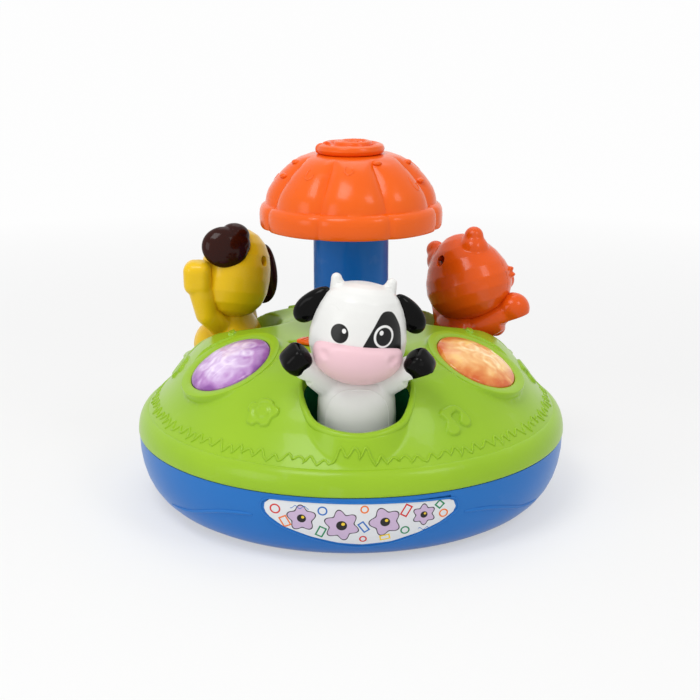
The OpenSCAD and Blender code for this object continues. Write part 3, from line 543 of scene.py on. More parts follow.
def labelMarks(paint, base):  # rings, flowers, blocks and waves in loose rows
    x, y, z = paint.axes()
    inks = {"red": tone(212, 40, 36), "blue": tone(40, 110, 190), "green": tone(20, 134, 84),
            "orange": tone(238, 120, 40), "yellow": tone(246, 208, 50), "black": tone(26, 24, 26),
            "lilac": tone(206, 182, 212)}

    def draw(base, shape, ink, width=None):  # shape is a distance in mm: an outline of a width, or filled
        edge = shape if width is None else abs(shape) - width / 2
        return paint.blend((0.5 - edge / 0.12).clamp(), base, inks[ink])

    def disc(cx, cz, r):
        return ((x - cx) * (x - cx) + (z - cz) * (z - cz)) ** 0.5 - r

    def block(cx, cz, half, tall, lean):
        c, s = math.cos(math.radians(lean)), math.sin(math.radians(lean))
        across, up = (x - cx) * c + (z - cz) * s, (z - cz) * c - (x - cx) * s
        return (abs(across) - half).high(abs(up) - tall)

    def flower(cx, cz, r, petals, lean):
        dx, dz = x - cx, z - cz
        turn = dx.math("ARCTAN2", dz) * petals + math.radians(lean)
        return (dx * dx + dz * dz) ** 0.5 - r - turn.math("COSINE") * (r * 0.17)

    for cx, cz, r, petals, lean in (
            (-27.5, 25.4, 6.0, 5, 20), (-8.6, 22.4, 7.2, 6, 60), (12.0, 24.0, 6.6, 5, 100), (30.6, 26.2, 4.8, 6, 0)):
        shape = flower(cx, cz, r, petals, lean)
        base = draw(base, shape, "lilac")
        base = draw(base, shape, "black", 0.55)
        base = draw(base, disc(cx, cz, r * 0.36), "black")
        base = draw(base, disc(cx + r * 0.1, cz + r * 0.12, r * 0.12), "yellow")
    for cx, cz, r, ink in (
            (-40.0, 29.2, 2.2, "red"), (-17.6, 30.0, 2.0, "blue"), (2.2, 31.0, 1.7, "orange"),
            (21.6, 18.6, 1.9, "green"), (1.6, 14.6, 1.5, "red"), (40.2, 25.6, 1.9, "orange")):
        base = draw(base, disc(cx, cz, r), ink, 0.75)
    for cx, cz, half, tall, lean, ink in (
            (-35.4, 23.0, 1.7, 2.6, 28, "orange"), (-18.4, 18.6, 1.6, 2.6, -24, "green"),
            (1.8, 21.6, 1.4, 2.6, 35, "blue"), (22.0, 29.4, 1.5, 2.8, -30, "red"),
            (38.2, 30.6, 1.5, 1.5, 45, "green"), (12.0, 15.2, 2.2, 1.2, 12, "yellow")):
        base = draw(base, block(cx, cz, half, tall, lean), ink, 0.75)
    for cx, cz, reach, rate in ((-28.4, 31.2, 4.2, 1.5), (31.4, 18.4, 3.2, 1.7)):
        ripple = z - cz + (x * rate).wave() * 0.7
        base = draw(base, abs(ripple).high(abs(x - cx) - reach).high(0.0) - 0.2, "blue")
    return base


letGo()
bpy.ops.mesh.primitive_grid_add(x_subdivisions=120, y_subdivisions=20, size=2)
label = bpy.context.object
label.name = "frontLabel"
for vertex in label.data.vertices:
    across, up = (vertex.co.x + 1) / 2, (vertex.co.y + 1) / 2
    x = labelLook["left"] + (labelLook["right"] - labelLook["left"]) * (0.5 - 0.5 * math.cos(math.pi * across))
    low, high = along(labelLook["bottom"], x), along(labelLook["top"], x)
    z = low + (high - low) * up
    vertex.co = onLabel(x, z, labelLook["lift"])
modify(label, "SOLIDIFY", thickness=labelLook["thick"] * mm, offset=-1)
cleanUp(label)
film = plastic("printed film", tone(*labelLook["film"]), 0.3, 0.3, drift=0.01, marks=labelMarks)
hand(label, film, "label_film", "front_label", smooth=40)

border = []
for x, z in (labelLook["top"] + labelLook["bottom"][::-1][1:])[:-1]:
    out = Vector((x - 0.4, z - 25)).normalized() * labelLook["border"]
    border.append((x + out.x, z + out.y * (0.55 if z > 31 else 1)))
border = [onLabel(x, min(z, labelLook["frameTop"])) for x, z in looped(border, 4)]
hand(bead("labelFrame", [border], labelLook["frame"], closed=True), blue, "blue_plastic")
print("base, label and column")

# Lenses: clouded styrene with soft moulded rings; their light from below is painted, as a paler middle, ring
# highlights, streaks and a faint emission
lensLook = {"radius": 22, "ball": 50.9, "crown": 6, "skirt": 6, "wall": 1.8, "plunger": 2.5, "foot": -14.0, "bumps": [
    (-8, 6, 0.7, 4.6), (7, 8, 0.6, 3.8), (3, -5, 0.8, 5.2), (-11, -7, 0.6, 4.0), (13, -3, 0.6, 3.8),
    (-1, 14, 0.5, 3.2), (9, -13, 0.5, 3.4), (-15, 1, 0.5, 3.0)]}
lensKinds = {  # tones run from deep at the rim to white in the painted glow of the middle, then the sparks
    "left": {"mirror": 1, "finish": "purple styrene", "slot": "purple_lens",
             "tones": ((136, 78, 156), (176, 126, 190), (214, 190, 226), (236, 222, 242), (170, 118, 186)),
             "rings": ((2, 13, 3.2), (9, 8, 2.0)),
             "highlightStreaks": ((-4.5, -1, 8), (-1.5, 2, 7), (7.5, -6, 8), (2.2, -5, 5))},
    "right": {"mirror": -1, "finish": "amber styrene", "slot": "amber_lens",
              "tones": ((206, 96, 36), (224, 146, 78), (240, 190, 124), (250, 222, 166), (248, 214, 96)),
              "rings": ((0.5, 7.5, 4.6), (-0.5, -7, 4.6), (9, 1, 2.6)), "highlightStreaks": ()},
    "rear": {"mirror": 1, "finish": "blue styrene", "slot": "blue_lens",
             "tones": ((28, 96, 168), (70, 150, 210), (150, 204, 236), (214, 236, 246), (90, 190, 226)),
             "rings": ((1, 8, 4.4), (-1, -7, 4.0)), "highlightStreaks": ((5, -2, 6),)},
}


def lensFinish(kind, angle):
    deep, middle, pale, white, spark = [tone(*channels) for channels in kind["tones"]]
    # painted glow: the lens colour is also given a faint emission, though no lamp lights it
    paint = Paint(kind["finish"], Roughness=0.16, Specular_IOR_Level=0.3, Coat_Weight=0.2, Emission_Strength=0.12)
    place = paint.place(atLens(angle).translation / mm, (lensSeat["tilt"], 0, angle))
    x, y, z = paint.axes(place)
    reach = (x * x + y * y) ** 0.5 / lensLook["radius"]
    cloud = paint.noise(place, 0.1, 1.0, 1.0)
    wisps = paint.noise(place, 0.2, 3.0, 1.6)
    # painted glow: pale in the middle where light from below would shine through, deep at the rim, broken up by the
    # styrene's clouds and wisps
    glow = (0.9 - reach * reach * 0.8 + (cloud - 0.5) * 1.3 + (wisps - 0.5) * 0.3).clamp()
    for rx, ry, size in kind["rings"]:  # painted highlight and painted shade along each moulded ring, as light from below would give
        edge = abs(((x - rx) * (x - rx) + (y - ry) * (y - ry)) ** 0.5 - size)
        ringHighlight, ringShade = (1 - edge / 0.9).clamp() * 0.14, (1 - abs(edge - 1.9) / 1.0).clamp() * 0.1
        glow = (glow + ringHighlight - ringShade).clamp()
    stops = [(0.0, deep), (0.36, middle), (0.74, pale), (1.0, white)]
    base = paint.make("ShaderNodeValToRGB", {"stops": stops}, {0: glow})
    sparks = ((paint.noise(place, 0.09, 1.0, 0.7) - 0.58) * 6).clamp()
    base = paint.blend(sparks * 0.6, base, spark)
    # painted highlights: straight white streaks, as moulded facets would reflect
    for sx, sy, half in kind["highlightStreaks"]:
        line = (1 - abs(x - sx - (y - sy) * 0.12) / 0.4).clamp() * ((half - abs(y - sy)) * 0.4).clamp()
        base = paint.blend(line * 0.6, base, white)
    # the painted colour, with its glow and highlights, is fed to emission too
    paint.feed(Base_Color=base, Emission_Color=base)
    return paint.material


size, ballSize, inner = lensLook["radius"], lensLook["ball"], lensLook["radius"] - lensLook["wall"]
lensOutline = [(r, lensLook["crown"] - ballSize + math.sqrt(ballSize ** 2 - r * r)) for r in range(0, 21)]
lensOutline += [(21.0, 1.38), (21.6, 1.0), (21.9, 0.4), (size, -0.4), (size, -lensLook["skirt"]),
                (inner, -lensLook["skirt"]), (inner, -0.5), (lensLook["plunger"], -0.5),
                (lensLook["plunger"], lensLook["foot"]), (0, lensLook["foot"])]
for side, kind in lensKinds.items():
    piece = turned(side + "Lens", lensOutline, 112)
    for x, y, lift, wide in lensLook["bumps"]:
        for vertex in piece.data.vertices:
            if vertex.co.z > 0.001:
                gap = math.hypot(vertex.co.x / mm - x * kind["mirror"], vertex.co.y / mm - y) / wide
                fall = min(max((21 - math.hypot(vertex.co.x, vertex.co.y) / mm) / 3, 0), 1)
                vertex.co.z += lift * mm * fall * (math.exp(-gap ** 2) - 0.8 * math.exp(-(gap * 1.9) ** 2))
    settle(piece, atLens(lensAngles[side]))
    hand(piece, lensFinish(kind, lensAngles[side]), kind["slot"], side + "_lens", body=side + "_button", smooth=50)
print("lenses")

# Sliding switch knob with three grip ribs
knobLook = {"angle": -34, "radius": 41.4, "floor": 89.75, "length": 11, "width": 7, "height": 2.65, "rib": 0.3}


def softBlock(at, size, edge, rings=3):  # a block with rounded edges, by its centre and size in mm
    letGo()
    bpy.ops.mesh.primitive_cube_add(size=1, location=scaled(at))
    piece = bpy.context.object
    piece.scale = scaled(size)
    settle(piece)
    editAll()
    bpy.ops.mesh.bevel(offset=edge * mm, segments=rings, affect="EDGES")
    letGo()
    return piece


high = knobLook["floor"] + knobLook["height"]
parts = [softBlock((0, 0, (knobLook["floor"] + high) / 2),
                   (knobLook["length"], knobLook["width"], knobLook["height"]), 1.0)]
rib = (1.2, knobLook["width"] - 0.6, 2 * knobLook["rib"])
parts += [softBlock((x, 0, high), rib, 0.35) for x in (-2.4, 0, 2.4)]
knob = join("switchKnob", parts)
settle(knob, atAngle(knobLook["angle"], knobLook["radius"]))
hand(knob, orange, "orange_plastic", "switch_knob", body="switch", smooth=40)
print("knob")

# Mushroom cap: eight lobes over a fat rim
capLook = {"lobes": 8, "flat": 16, "fadeFrom": 24, "fadeOver": 8, "rimTop": 157.6, "rimCrease": 1.3,
           "rimWidth": 3.2, "sideCrease": 3.6, "creaseWidth": 6.5, "swell": 1.5}
capOutline = [
    (46.4, 145.3), (47.4, 145.6), (47.9, 146.6), (48.15, 149), (48.2, 152), (48.0, 154.4), (47.2, 156.3),
    (46.0, 157.3), (45.1, 157.9), (44.9, 159.2), (44.4, 162.0), (43.3, 165.0), (41.4, 168.0), (39.0, 171.2),
    (36.2, 174.4), (33.4, 177.0), (30.2, 179.4), (26.6, 181.4), (22.5, 182.7), (17, 183.2), (8, 183.3),
    (0, 183.3), (0, 181.2), (17, 181.0), (25.8, 179.3), (30.2, 176.6), (35.0, 171.6), (38.0, 167.8),
    (41.6, 161.0), (42.9, 154.4), (45.4, 151.4), (45.5, 146.0)]
cap = turned("mushroomCap", capOutline, 256, closed=True)
halfLobe = 180 / capLook["lobes"]
for vertex in cap.data.vertices:
    r, z = math.hypot(vertex.co.x, vertex.co.y) / mm, vertex.co.z / mm
    if r < capLook["flat"]:
        continue
    angle = math.degrees(math.atan2(vertex.co.x, -vertex.co.y))
    away = abs(angle % (2 * halfLobe) - halfLobe)  # degrees from the nearest crease
    onRim = z < capLook["rimTop"]
    crease = math.exp(-(away / capLook["rimWidth" if onRim else "creaseWidth"]) ** 1.15)
    fade = 1 if onRim else min(max((r - capLook["fadeFrom"]) / capLook["fadeOver"], 0), 1)
    climb = 0.55 + 0.45 * min((z - 157) / 12, 1)
    deep = capLook["rimCrease"] if onRim else capLook["sideCrease"] * fade * climb
    bulge = (math.cos(math.radians((halfLobe - away) * capLook["lobes"] / 2)) - 1) / 2
    swell = capLook["swell"] * bulge * (0.25 if onRim else fade)
    share = (r - deep * crease + swell) / r
    vertex.co.x *= share
    vertex.co.y *= share


def onCap(angle, u, r, lift=0.0):  # the place on the cap at an angle and radius, u mm sideways
    turn = math.radians(angle + math.degrees(u / max(r, 1)))
    return dropOn(cap, r * math.sin(turn), -r * math.cos(turn), lift)


# Raised drops, open at the top, and the round spots on the shoulders
dropLook = {
    "line": [(-1.6, -3.6), (-2.1, -1.4), (-2.2, 0.8), (-1.3, 2.3), (0, 2.8), (1.3, 2.3), (2.2, 0.8), (1.9, -0.8)],
    "drops": ((-39.2, 34.6), (-3.9, 31.6), (53.6, 39.2), (98, 34.6), (141, 31.6), (176, 37), (-141, 34.6),
              (-98, 38.4)),
    "spots": ((-80, 29), (-76, 36), (80, 29.4), (72, 37), (28, 26), (-120, 30), (120, 34), (160, 28), (-165, 30))}
drops = [[onCap(angle, p.x, r + p.y * 0.75, -0.15) for p in curved(dropLook["line"], 4)]
         for angle, r in dropLook["drops"]]
spots = [ball(onCap(angle, 0, r, -0.5) / mm, (2.7, 2.7, 1.5), (0, 0, angle)) for angle, r in dropLook["spots"]]
capDrops = join("capDrops", [bead("drops", drops, 0.5)] + spots)
hand(cap, orange, "orange_plastic", "mushroom_cap", body="pump", smooth=50)
hand(capDrops, orange, "orange_plastic", body="pump")

# Rolled leaf on top: a thick lower roll, then a thinner coil that climbs inwards
topLook = {  # each roll: radius, thickness, height, start, sweep, shrink, climb and shift
    "disc": [(0, 183.35), (15.6, 183.35), (16.6, 184.2), (15.4, 186.4), (10, 187.6), (0, 187.9)],
    "lowRoll": (15.5, 2.75, 185.7, -84, 352, 2.6, 1.0, 0), "coil": (8.6, 2.0, 188.0, -100, 430, 3.2, 0.1, 1.2),
    "inner": (4.4, 0.9, 188.6, 20, 420, 3.4, 0.3, 1.2)}


def rolledUp(radius, tube, z, start, sweep, shrink, climb, shift):  # one turn or more of a rolled edge
    run = []
    for i in range(91):
        share = i / 90
        angle, reach = math.radians(start + sweep * share), radius - shrink * share ** 2
        x, y = shift + reach * math.sin(angle), -reach * math.cos(angle)
        run.append(Vector(scaled((x, y, z + climb * share ** 3))))
    return run


parts = [turned("disc", topLook["disc"], 96)]
for name in ("lowRoll", "coil", "inner"):
    run = rolledUp(*topLook[name])
    parts.append(bead(name, [run], topLook[name][1]))
    if name == "lowRoll":
        end = ball((run[0] / mm)[:], (3.3, 3.3, 3.1))
top = fused("capTopRoll", parts + [end], 0.4, 3)
hand(top, orange, "orange_plastic", "cap_top_disc", body="pump")
hand(fromCad("cap_base", "capUnderside"), orange, "orange_plastic", "cap_base", body="pump", smooth=30)
print("cap")

# Animals
def frameOf(angle, head=(0, 0, 0), roll=0.0, yaw=0.0):  # the place of a figure, or of its head
    return (atAngle(angle, wellReach) @ Matrix.Rotation(math.radians(yaw), 4, "Z")
            @ Matrix.Translation(scaled(head)) @ Matrix.Rotation(math.radians(roll), 4, "Y"))


def headForm(name, look, extras):  # a head turned from its front outline, then fused with its extras
    skull = turned(name, look["outline"], 72)
    skull.scale = (1, look["depth"], 1)
    settle(skull)
    return fused(name, [skull] + extras, 0.7, 5)


def halves(head, seam):  # front and back shells, parted a hair at the seam
    pieces = []
    for side in (-1, 1):
        half = hold(added(head.name, head.data.copy()))
        editAll()
        bpy.ops.mesh.bisect(plane_co=(0, (seam + side * 0.06) * mm, 0), plane_no=(0, side, 0), use_fill=True,
                            clear_inner=True)
        modify(half, "BEVEL", width=0.25 * mm, segments=2, limit_method="ANGLE", angle_limit=math.radians(50))
        pieces.append(half)
    bpy.data.objects.remove(head)
    return pieces


def screwWell(piece, up=8.0, start=12.0):  # the hole in the back of a head that its screw goes down
    letGo()
    bpy.ops.mesh.primitive_cylinder_add(vertices=40, radius=2.9 * mm, depth=20 * mm, rotation=(math.pi / 2, 0, 0),
                                        location=(0, (start + 10) * mm, up * mm))
    tool = settle(bpy.context.object)
    modify(piece, "BOOLEAN", operation="DIFFERENCE", object=tool, solver="EXACT")
    bpy.data.objects.remove(tool)


def torso(name, look):
    piece = turned(name, look["outline"], 72)
    piece.scale = (1, look["depth"], 1)
    return settle(piece)


def pushIn(piece, at, depth, radius, axis=(0, 1, 0)):  # a soft dimple pressed into a piece at a place in mm
    centre, way = Vector(scaled(at)), Vector(axis).normalized()
    for vertex in piece.data.vertices:
        gap = vertex.co - centre
        flat = gap - way * gap.dot(way)
        if gap.length < 6 * radius * mm:
            vertex.co += way * depth * mm * math.exp(-(flat.length / (radius * mm)) ** 2)


def onFront(piece, x, z, lift=0.0, side=1):  # the place on a piece's front (or back) at (x, z) in mm
    return hitOn(piece, (x * mm, -0.06 * side, z * mm), (0, side, 0), lift)


def onFace(piece, outline, lift=-0.2, side=1):
    return [place for place in (onFront(piece, x, z, lift, side) for x, z in outline) if place is not None]


rimLook = {"wall": 25.3, "start": 27, "height": 85.5, "rise": 0.41, "top": 90.4}


def clearRim(piece):  # leaves a figure room to turn in its well and over the rim, before it is set in place
    look = rimLook
    for vertex in piece.data.vertices:
        reach = math.hypot(vertex.co.x, vertex.co.y) / mm
        over = reach - look["wall"]
        rim = min(look["height"] + look["rise"] * max(reach - look["start"], 0), look["top"])
        short = rim - vertex.co.z / mm
        if 0 < over < short:
            vertex.co.x *= look["wall"] / reach
            vertex.co.y *= look["wall"] / reach
        elif over > 0 and short > 0:
            vertex.co.z += short * mm
    return piece


def handHead(who, head, back, place, face, plain, slot):
    back.name = who + "HeadBack"
    for piece, half, material in ((head, "front", face), (back, "back", plain)):
        settle(piece, place)
        hand(piece, material, slot, f"{who}_head_{half}", body=who, smooth=50)


def handNose(who, balls, voxel, place):
    nose = settle(fused(who + "Nose", balls, voxel, 4), place)
    hand(nose, glossBlack, "cow_black", who + "_nose", body=who)


archLine = [(-15.2, 58), (-15.2, 68), (-13.6, 74.2), (-10.6, 78.2), (-6.2, 80.4), (0, 81.1)]
archLine += [(-x, z) for x, z in archLine[-2::-1]]


def handBody(who, look, limbs, place, material, slot, across=0.95):  # trunk and limbs, with the line of the belly
    name = who + "Body"
    trunk = clearRim(fused(name, [torso("trunk", look)] + limbs, 0.75, 6))
    modify(trunk, "SMOOTH", factor=0.5, iterations=3)
    clearRim(trunk)
    line = onFace(trunk, curved([(x * across, z) for x, z in archLine], 8), -0.12)
    trunk = join(name, [trunk, bead("belly", [line], 0.34)])
    settle(trunk, place)
    hand(trunk, material, slot, who + "_body", body=who)


def eyeMarks(at, turn, across, up, forward):  # two plain eyes on the front of a head
    def marks(paint, base):
        x, y, z = paint.axes(paint.place(at, turn))
        front = (-1 * y - forward).clamp()
        for s in (-1, 1):
            base = paint.blend(spot(x, z, s * across, up, 3.0, 3.9) * front, base, tone(14, 12, 12))
            base = paint.blend(spot(x, z, s * across - 0.9, up + 1.5, 0.8, 0.95) * front, base, tone(244, 243, 238))
        return base
    return marks


# Cow
cowLook = {"head": (1.0, 0, 107), "roll": 6.5, "depth": 0.92, "eye": (10.4, 2.9),
           "outline": [(0, -23.4), (7, -23.0), (12.5, -21.4), (17.8, -18.2), (21.6, -13.6), (23.5, -8), (23.7, -2),
                       (22.9, 3), (21.9, 8), (20.2, 13), (17.6, 17.6), (14.4, 20.6), (10.4, 22.6), (5, 23.8),
                       (0, 24.1)]}


def cowMarks(paint, base):
    at = (cowLook["head"][0], -wellReach, cowLook["head"][2])
    x, y, z = paint.axes(paint.place(at, (0, cowLook["roll"], 0)))
    left = (x - 1.6) * 0.907 - (z + 1.4) * 0.422
    top = (14.2 - x) * 0.824 + (14.2 - z) * 0.566
    side = (18.9 - x) * 0.993 + (7.5 - z) * 0.121
    patch = left
    for other in (top, side, 14.6 - z):
        patch = paint.make("ShaderNodeMath", {"operation": "SMOOTH_MIN"}, {0: patch, 1: other, 2: 3.5})
    front = (-1 * y).clamp()
    dark, light = tone(12, 12, 12), tone(240, 240, 238)
    base = paint.blend((0.5 + patch * 4).clamp() * front, base, dark)
    ex, ez = cowLook["eye"]
    for cx, cz, rx, rz, ink in (
            (ex + 0.3, ez + 0.2, 4.75, 5.3, light), (ex + 0.4, ez + 0.1, 3.75, 4.3, dark),
            (0.3 - ex, ez - 0.3, 4.1, 4.5, dark), (ex - 0.9, ez + 1.9, 0.95, 1.1, light),
            (2.2 - ex, ez + 1.2, 0.95, 1.1, light)):
        base = paint.blend(spot(x, z, cx, cz, rx, rz) * front, base, ink)
    return base


cowWhite = plastic("cow white", tone(235, 235, 232), 0.32, 0.15, drift=0.015)
cowFace = plastic("cow face", tone(235, 235, 232), 0.3, 0.15, drift=0.015, marks=cowMarks)
cowPink = plastic("cow pink", tone(240, 200, 208), 0.4, 0.05, drift=0.02)
body = frameOf(0)
headPlace = frameOf(0, cowLook["head"], cowLook["roll"])

horns = [limb((s * 11.6, 3, 17), (s * 13.4, 3, 24.2), 4.6, 2.7) for s in (-1, 1)]
skull = headForm("cowHead", cowLook, horns)
for s, x, z in ((1, 14.0, 14.6), (-1, -12.4, 13.9)):
    pushIn(skull, (x, -20, z), 0.35, 2.2)
head, back = halves(skull, 0)
browRuns = [onFace(head, [(s * (11.6 + t * 0.6), 14.6 - 0.06 * (t - 4) ** 2) for t in range(-1, 9)])
            for s in (-1, 1)]
head = join("cowHeadFront", [head, bead("brows", browRuns, 0.32)])
screwWell(back)
handHead("cow", head, back, headPlace, cowFace, cowWhite, "cow_white")

muzzle = ball((0, -11.6, -8.3), (21.6, 14.2, 15), segments=64)
for vertex in muzzle.data.vertices:
    rise = vertex.co.z / mm + 8.3
    if rise > 0:
        vertex.co.z = (-8.3 + 6.6 * (1 - (1 - rise / 15) ** 2.2)) * mm
muzzle = fused("cowMuzzle", [muzzle], 0.6, 6)
for s in (-1, 1):
    pushIn(muzzle, (s * 16.4, -22, -7.2), 1.5, 1.9)
    pushIn(muzzle, (s * 16.4, -22, -10.4), -0.5, 1.6)
    pushIn(muzzle, (s * 13.4, -24, -6.4), -0.35, 1.6)
pushIn(muzzle, (4.6, -25, -19.2), 1.2, 1.3)
pushIn(muzzle, (2.4, -25, -20.4), 0.5, 1.4)
smileRun = onFace(muzzle, [(-2.4 + 0.8 * t, -19.6 - 0.9 * math.sin(math.pi * t / 8)) for t in range(9)])
muzzle = join("cowMuzzle", [muzzle, bead("smile", [smileRun], 0.28)])
settle(muzzle, headPlace)
hand(muzzle, cowPink, "cow_pink", "cow_muzzle", body="cow")

ears = []
for s in (-1, 1):
    ear = ball((0, 0, 0), (5.9, 4.4, 11.6))
    for vertex in ear.data.vertices:  # broader and hollowed towards the tip
        down = -vertex.co.z / (11.6 * mm)
        vertex.co.x *= 1 + 0.22 * down
        vertex.co.y += 0.9 * mm * max(down, 0) ** 2
    pushIn(ear, (0, -4, -2), 1.0, 3.2)
    ear.rotation_euler = (0, math.radians(-s * 39), math.radians(s * 8))
    ear.location = scaled((s * 23.6, 1.5, 10.6))
    ears.append(settle(ear))
ears = settle(fused("cowEars", ears, 0.5, 4), headPlace)
hand(ears, glossBlack, "cow_black", "cow_ears", body="cow")

hooves, arms = [], []
hoofLine = [(0, -1.0), (6.0, -1.0), (6.8, -0.6), (7.3, 0.8), (7.6, 3.2), (7.5, 5.8), (7.1, 7.8), (6.3, 9.2),
            (5.0, 10.0), (2.6, 10.5), (0, 10.6)]
for s, rise in ((-1, 1.2), (1, -1.6)):
    wrist, shoulder = Vector((s * 27.0, -11.2, 93.2 + rise)), Vector((s * 13.5, -1.5, 81.5))
    way = (wrist - shoulder).normalized()
    arms.append(limb(shoulder, wrist, 7.8, 6.5))
    hoof = turned("hoof", hoofLine, 64)
    for vertex in hoof.data.vertices:  # squared a little
        turn = math.atan2(vertex.co.y, vertex.co.x)
        share = 0.97 / (abs(math.cos(turn)) ** 3.4 + abs(math.sin(turn)) ** 3.4) ** (1 / 3.4)
        vertex.co.x *= share
        vertex.co.y *= share
    spun = Quaternion((0, 0, 1), math.radians(s * 28))
    hoof.rotation_euler = (way.to_track_quat("Z", "Y") @ spun).to_euler()
    hoof.location = scaled(wrist)
    hoof.scale = (0.92, 0.92, 0.95)
    hooves.append(settle(hoof))
hooves = settle(clearRim(join("cowHooves", hooves)), body)
hand(hooves, glossBlack, "cow_black", "cow_hooves", body="cow")

cowTorso = {"depth": 0.77, "outline": [
    (0, 54), (16.6, 54), (18.6, 55.4), (19.4, 59), (19.5, 66), (19.0, 73), (17.8, 78.5), (15.2, 82.6), (10, 85.4),
    (0, 86.4)]}
handBody("cow", cowTorso, arms, body, cowWhite, "cow_white", across=1)
print("cow")

# Dog
dogLook = {"head": (0, 1, 112.3), "roll": -14, "depth": 0.87, "eyes": (-64.086, 37.5, 112.3),
           "outline": [(0, -25.2), (7, -24.3), (13, -21.6), (17.8, -16.8), (20.6, -10.4), (21.5, -3), (21.2, 4),
                       (19.6, 11), (16.4, 17.2), (11.4, 22), (5.6, 24.5), (0, 25.2)]}

dogSkin = {"colour": tone(238, 192, 18), "rough": 0.28, "coat": 0.12, "warm": tone(244, 202, 24)}
dogEyes = eyeMarks(dogLook["eyes"], (0, dogLook["roll"], -120), 7.6, 6.2, 0)
dogYellow = plastic("dog yellow", **dogSkin)
dogFace = plastic("dog face", marks=dogEyes, **dogSkin)
dogBrown = plastic("dog brown", tone(48, 14, 6), 0.14, 0.08, drift=0.12, Specular_IOR_Level=0.12)
dogBody = frameOf(-120)
dogHead = frameOf(-120, dogLook["head"], dogLook["roll"])
snout = ball((0, -17, -8), (10.5, 9.2, 8.2))
skull = headForm("dogHead", dogLook, [snout])
head, back = halves(skull, -9)
mouthRuns = [onFace(head, [(0, -9.5 - 0.7 * t) for t in range(7)]),
             onFace(head, [(0.9 * t, -13.7 + 0.055 * t * t) for t in range(-6, 7)])]
head = join("dogHeadFront", [head, bead("mouth", mouthRuns, 0.3)])
screwWell(back)
handHead("dog", head, back, dogHead, dogFace, dogYellow, "dog_yellow")
handNose("dog", [ball((0, -25.2, -4.6), (4.4, 3.0, 3.2)), ball((0, -25, -6.6), (2.6, 2.4, 2.2))], 0.35, dogHead)

flop = [ball((19.4, 3.6, 13.0), (6.2, 12.9, 11.4), (0, -6, 40)),
        ball((13.6, 5.4, 20.4), (6.6, 8.2, 6.6), (0, -20, 40)),
        ball((16.0, 5.2, 15.4), (6.2, 10.6, 9.4), (0, -12, 40))]
hang = ball((0, 0, 0), (4.6, 9.6, 17.6))
for vertex in hang.data.vertices:
    vertex.co.y *= 1 - 0.24 * vertex.co.z / (17.6 * mm)
hang.rotation_euler = (math.radians(-6), math.radians(14), 0)
hang.location = scaled((-21.6, 4.6, 0.8))
ears = settle(fused("dogEars", flop + [settle(hang)], 0.55, 5), dogHead)
hand(ears, dogBrown, "dog_brown", "dog_ears", body="dog")

dogTorso = {"depth": 0.77, "outline": [
    (0, 54), (16.6, 54), (18.6, 55.4), (19.4, 59), (19.5, 67), (18.6, 75), (16.4, 81.5), (12.8, 86), (10.6, 90),
    (0, 91)]}
mitt = softBlock((0, 0, 0), (14.6, 15.4, 19.0), 5.4, 6)
mitt.rotation_euler, mitt.location = (0, math.radians(6), math.radians(25)), scaled((24.2, -8.0, 113.2))
paws = [limb((12, -2, 84), (20.6, -5.4, 92), 6.6, 6.2), limb((20.6, -5.4, 92), (22.6, -7.0, 106), 6.2, 7.2),
        settle(mitt), ball((3.5, -7.6, 70.6), (15.5, 15.5, 15)),
        limb((-12, -1, 83), (-25.6, -11.4, 96.4), 7.0, 5.8), ball((-26.4, -12, 98.4), (7.0, 6.8, 7.6))]
handBody("dog", dogTorso, paws, dogBody, dogYellow, "dog_yellow")
print("dog")

# Cat
catLook = {"head": (-0.8, -3.2, 108.4), "roll": 23, "yaw": 15, "depth": 0.96, "eyes": (64.086, 37.0, 108.4),
           "outline": [(0, -24.4), (8, -23.8), (14.8, -21.4), (20.4, -16.8), (24.0, -10.4), (25.0, -4.2), (23.7, 2.6),
                       (20.4, 9.8), (15.9, 16.2), (10.3, 21.2), (5, 23.9), (0, 24.8)]}

catSkin = {"colour": tone(230, 80, 12), "rough": 0.2, "coat": 0.1, "warm": tone(238, 98, 16)}
catEyes = eyeMarks(catLook["eyes"], (0, catLook["roll"], 120 + catLook["yaw"]), 8.4, 3.4, 4)
catOrange = plastic("cat orange", **catSkin)
catFace = plastic("cat face", marks=catEyes, **catSkin)
catBody = frameOf(120, yaw=catLook["yaw"])
catHead = frameOf(120, catLook["head"], catLook["roll"], catLook["yaw"])
extras = [limb((s * 12.0, 2.4, 12.8), (s * 14.8, 1.8, 20.0), 8.8, 5.4) for s in (-1, 1)]
extras += [ball((s * 7.2, -20.0, -7.6), (8.2, 6.2, 6.6)) for s in (-1, 1)]
extras += [ball((s * 20.6, -11.6, -6 + 3.0 * k), (3.6, 3.0, 1.6), (0, s * (18 - 14 * k), 0))
           for s in (-1, 1) for k in (0, 1)]
head, back = halves(headForm("catHead", catLook, extras), -4)
stripeRuns = []
for s in (-1, 1):
    for high in (6.0, -3.4):
        line = [(s * 24 - s * 0.55 * t * 2, high - 0.10 * t) for t in range(0, 13)]
        line += [(s * 10.2, high - 2.2), (s * 11.0, high - 3.6)]
        line += [(s * (12 + 1.1 * t), high - 3.9 - 0.05 * t) for t in range(0, 11)]
        stripeRuns.append(onFace(back, line, -0.22, side=-1))
stripes = bead("stripes", [run for run in stripeRuns if len(run) > 3], 0.34)
back = join("catHeadBack", [back, stripes])
faceRuns = [onFace(head, [(s * (9 + 1.3 * t), -6.5 + k * 2.6 + 0.12 * k * t) for t in range(8)])
            for s in (-1, 1) for k in (-1, 0, 1)]
faceRuns.append(onFace(head, [(0.8 * t, -10.6 - 1.1 * math.sin(abs(t) * 0.55)) for t in range(-6, 7)]))
whiskers = bead("whiskers", [run for run in faceRuns if len(run) > 3], 0.28)
head = join("catHeadFront", [head, whiskers])
screwWell(back, up=12, start=11)
handHead("cat", head, back, catHead, catFace, catOrange, "cat_orange")
handNose("cat", [ball((0, -25.6, -3.6), (2.9, 2.2, 1.9)), ball((0, -25.5, -4.9), (1.5, 1.8, 1.6))], 0.3, catHead)

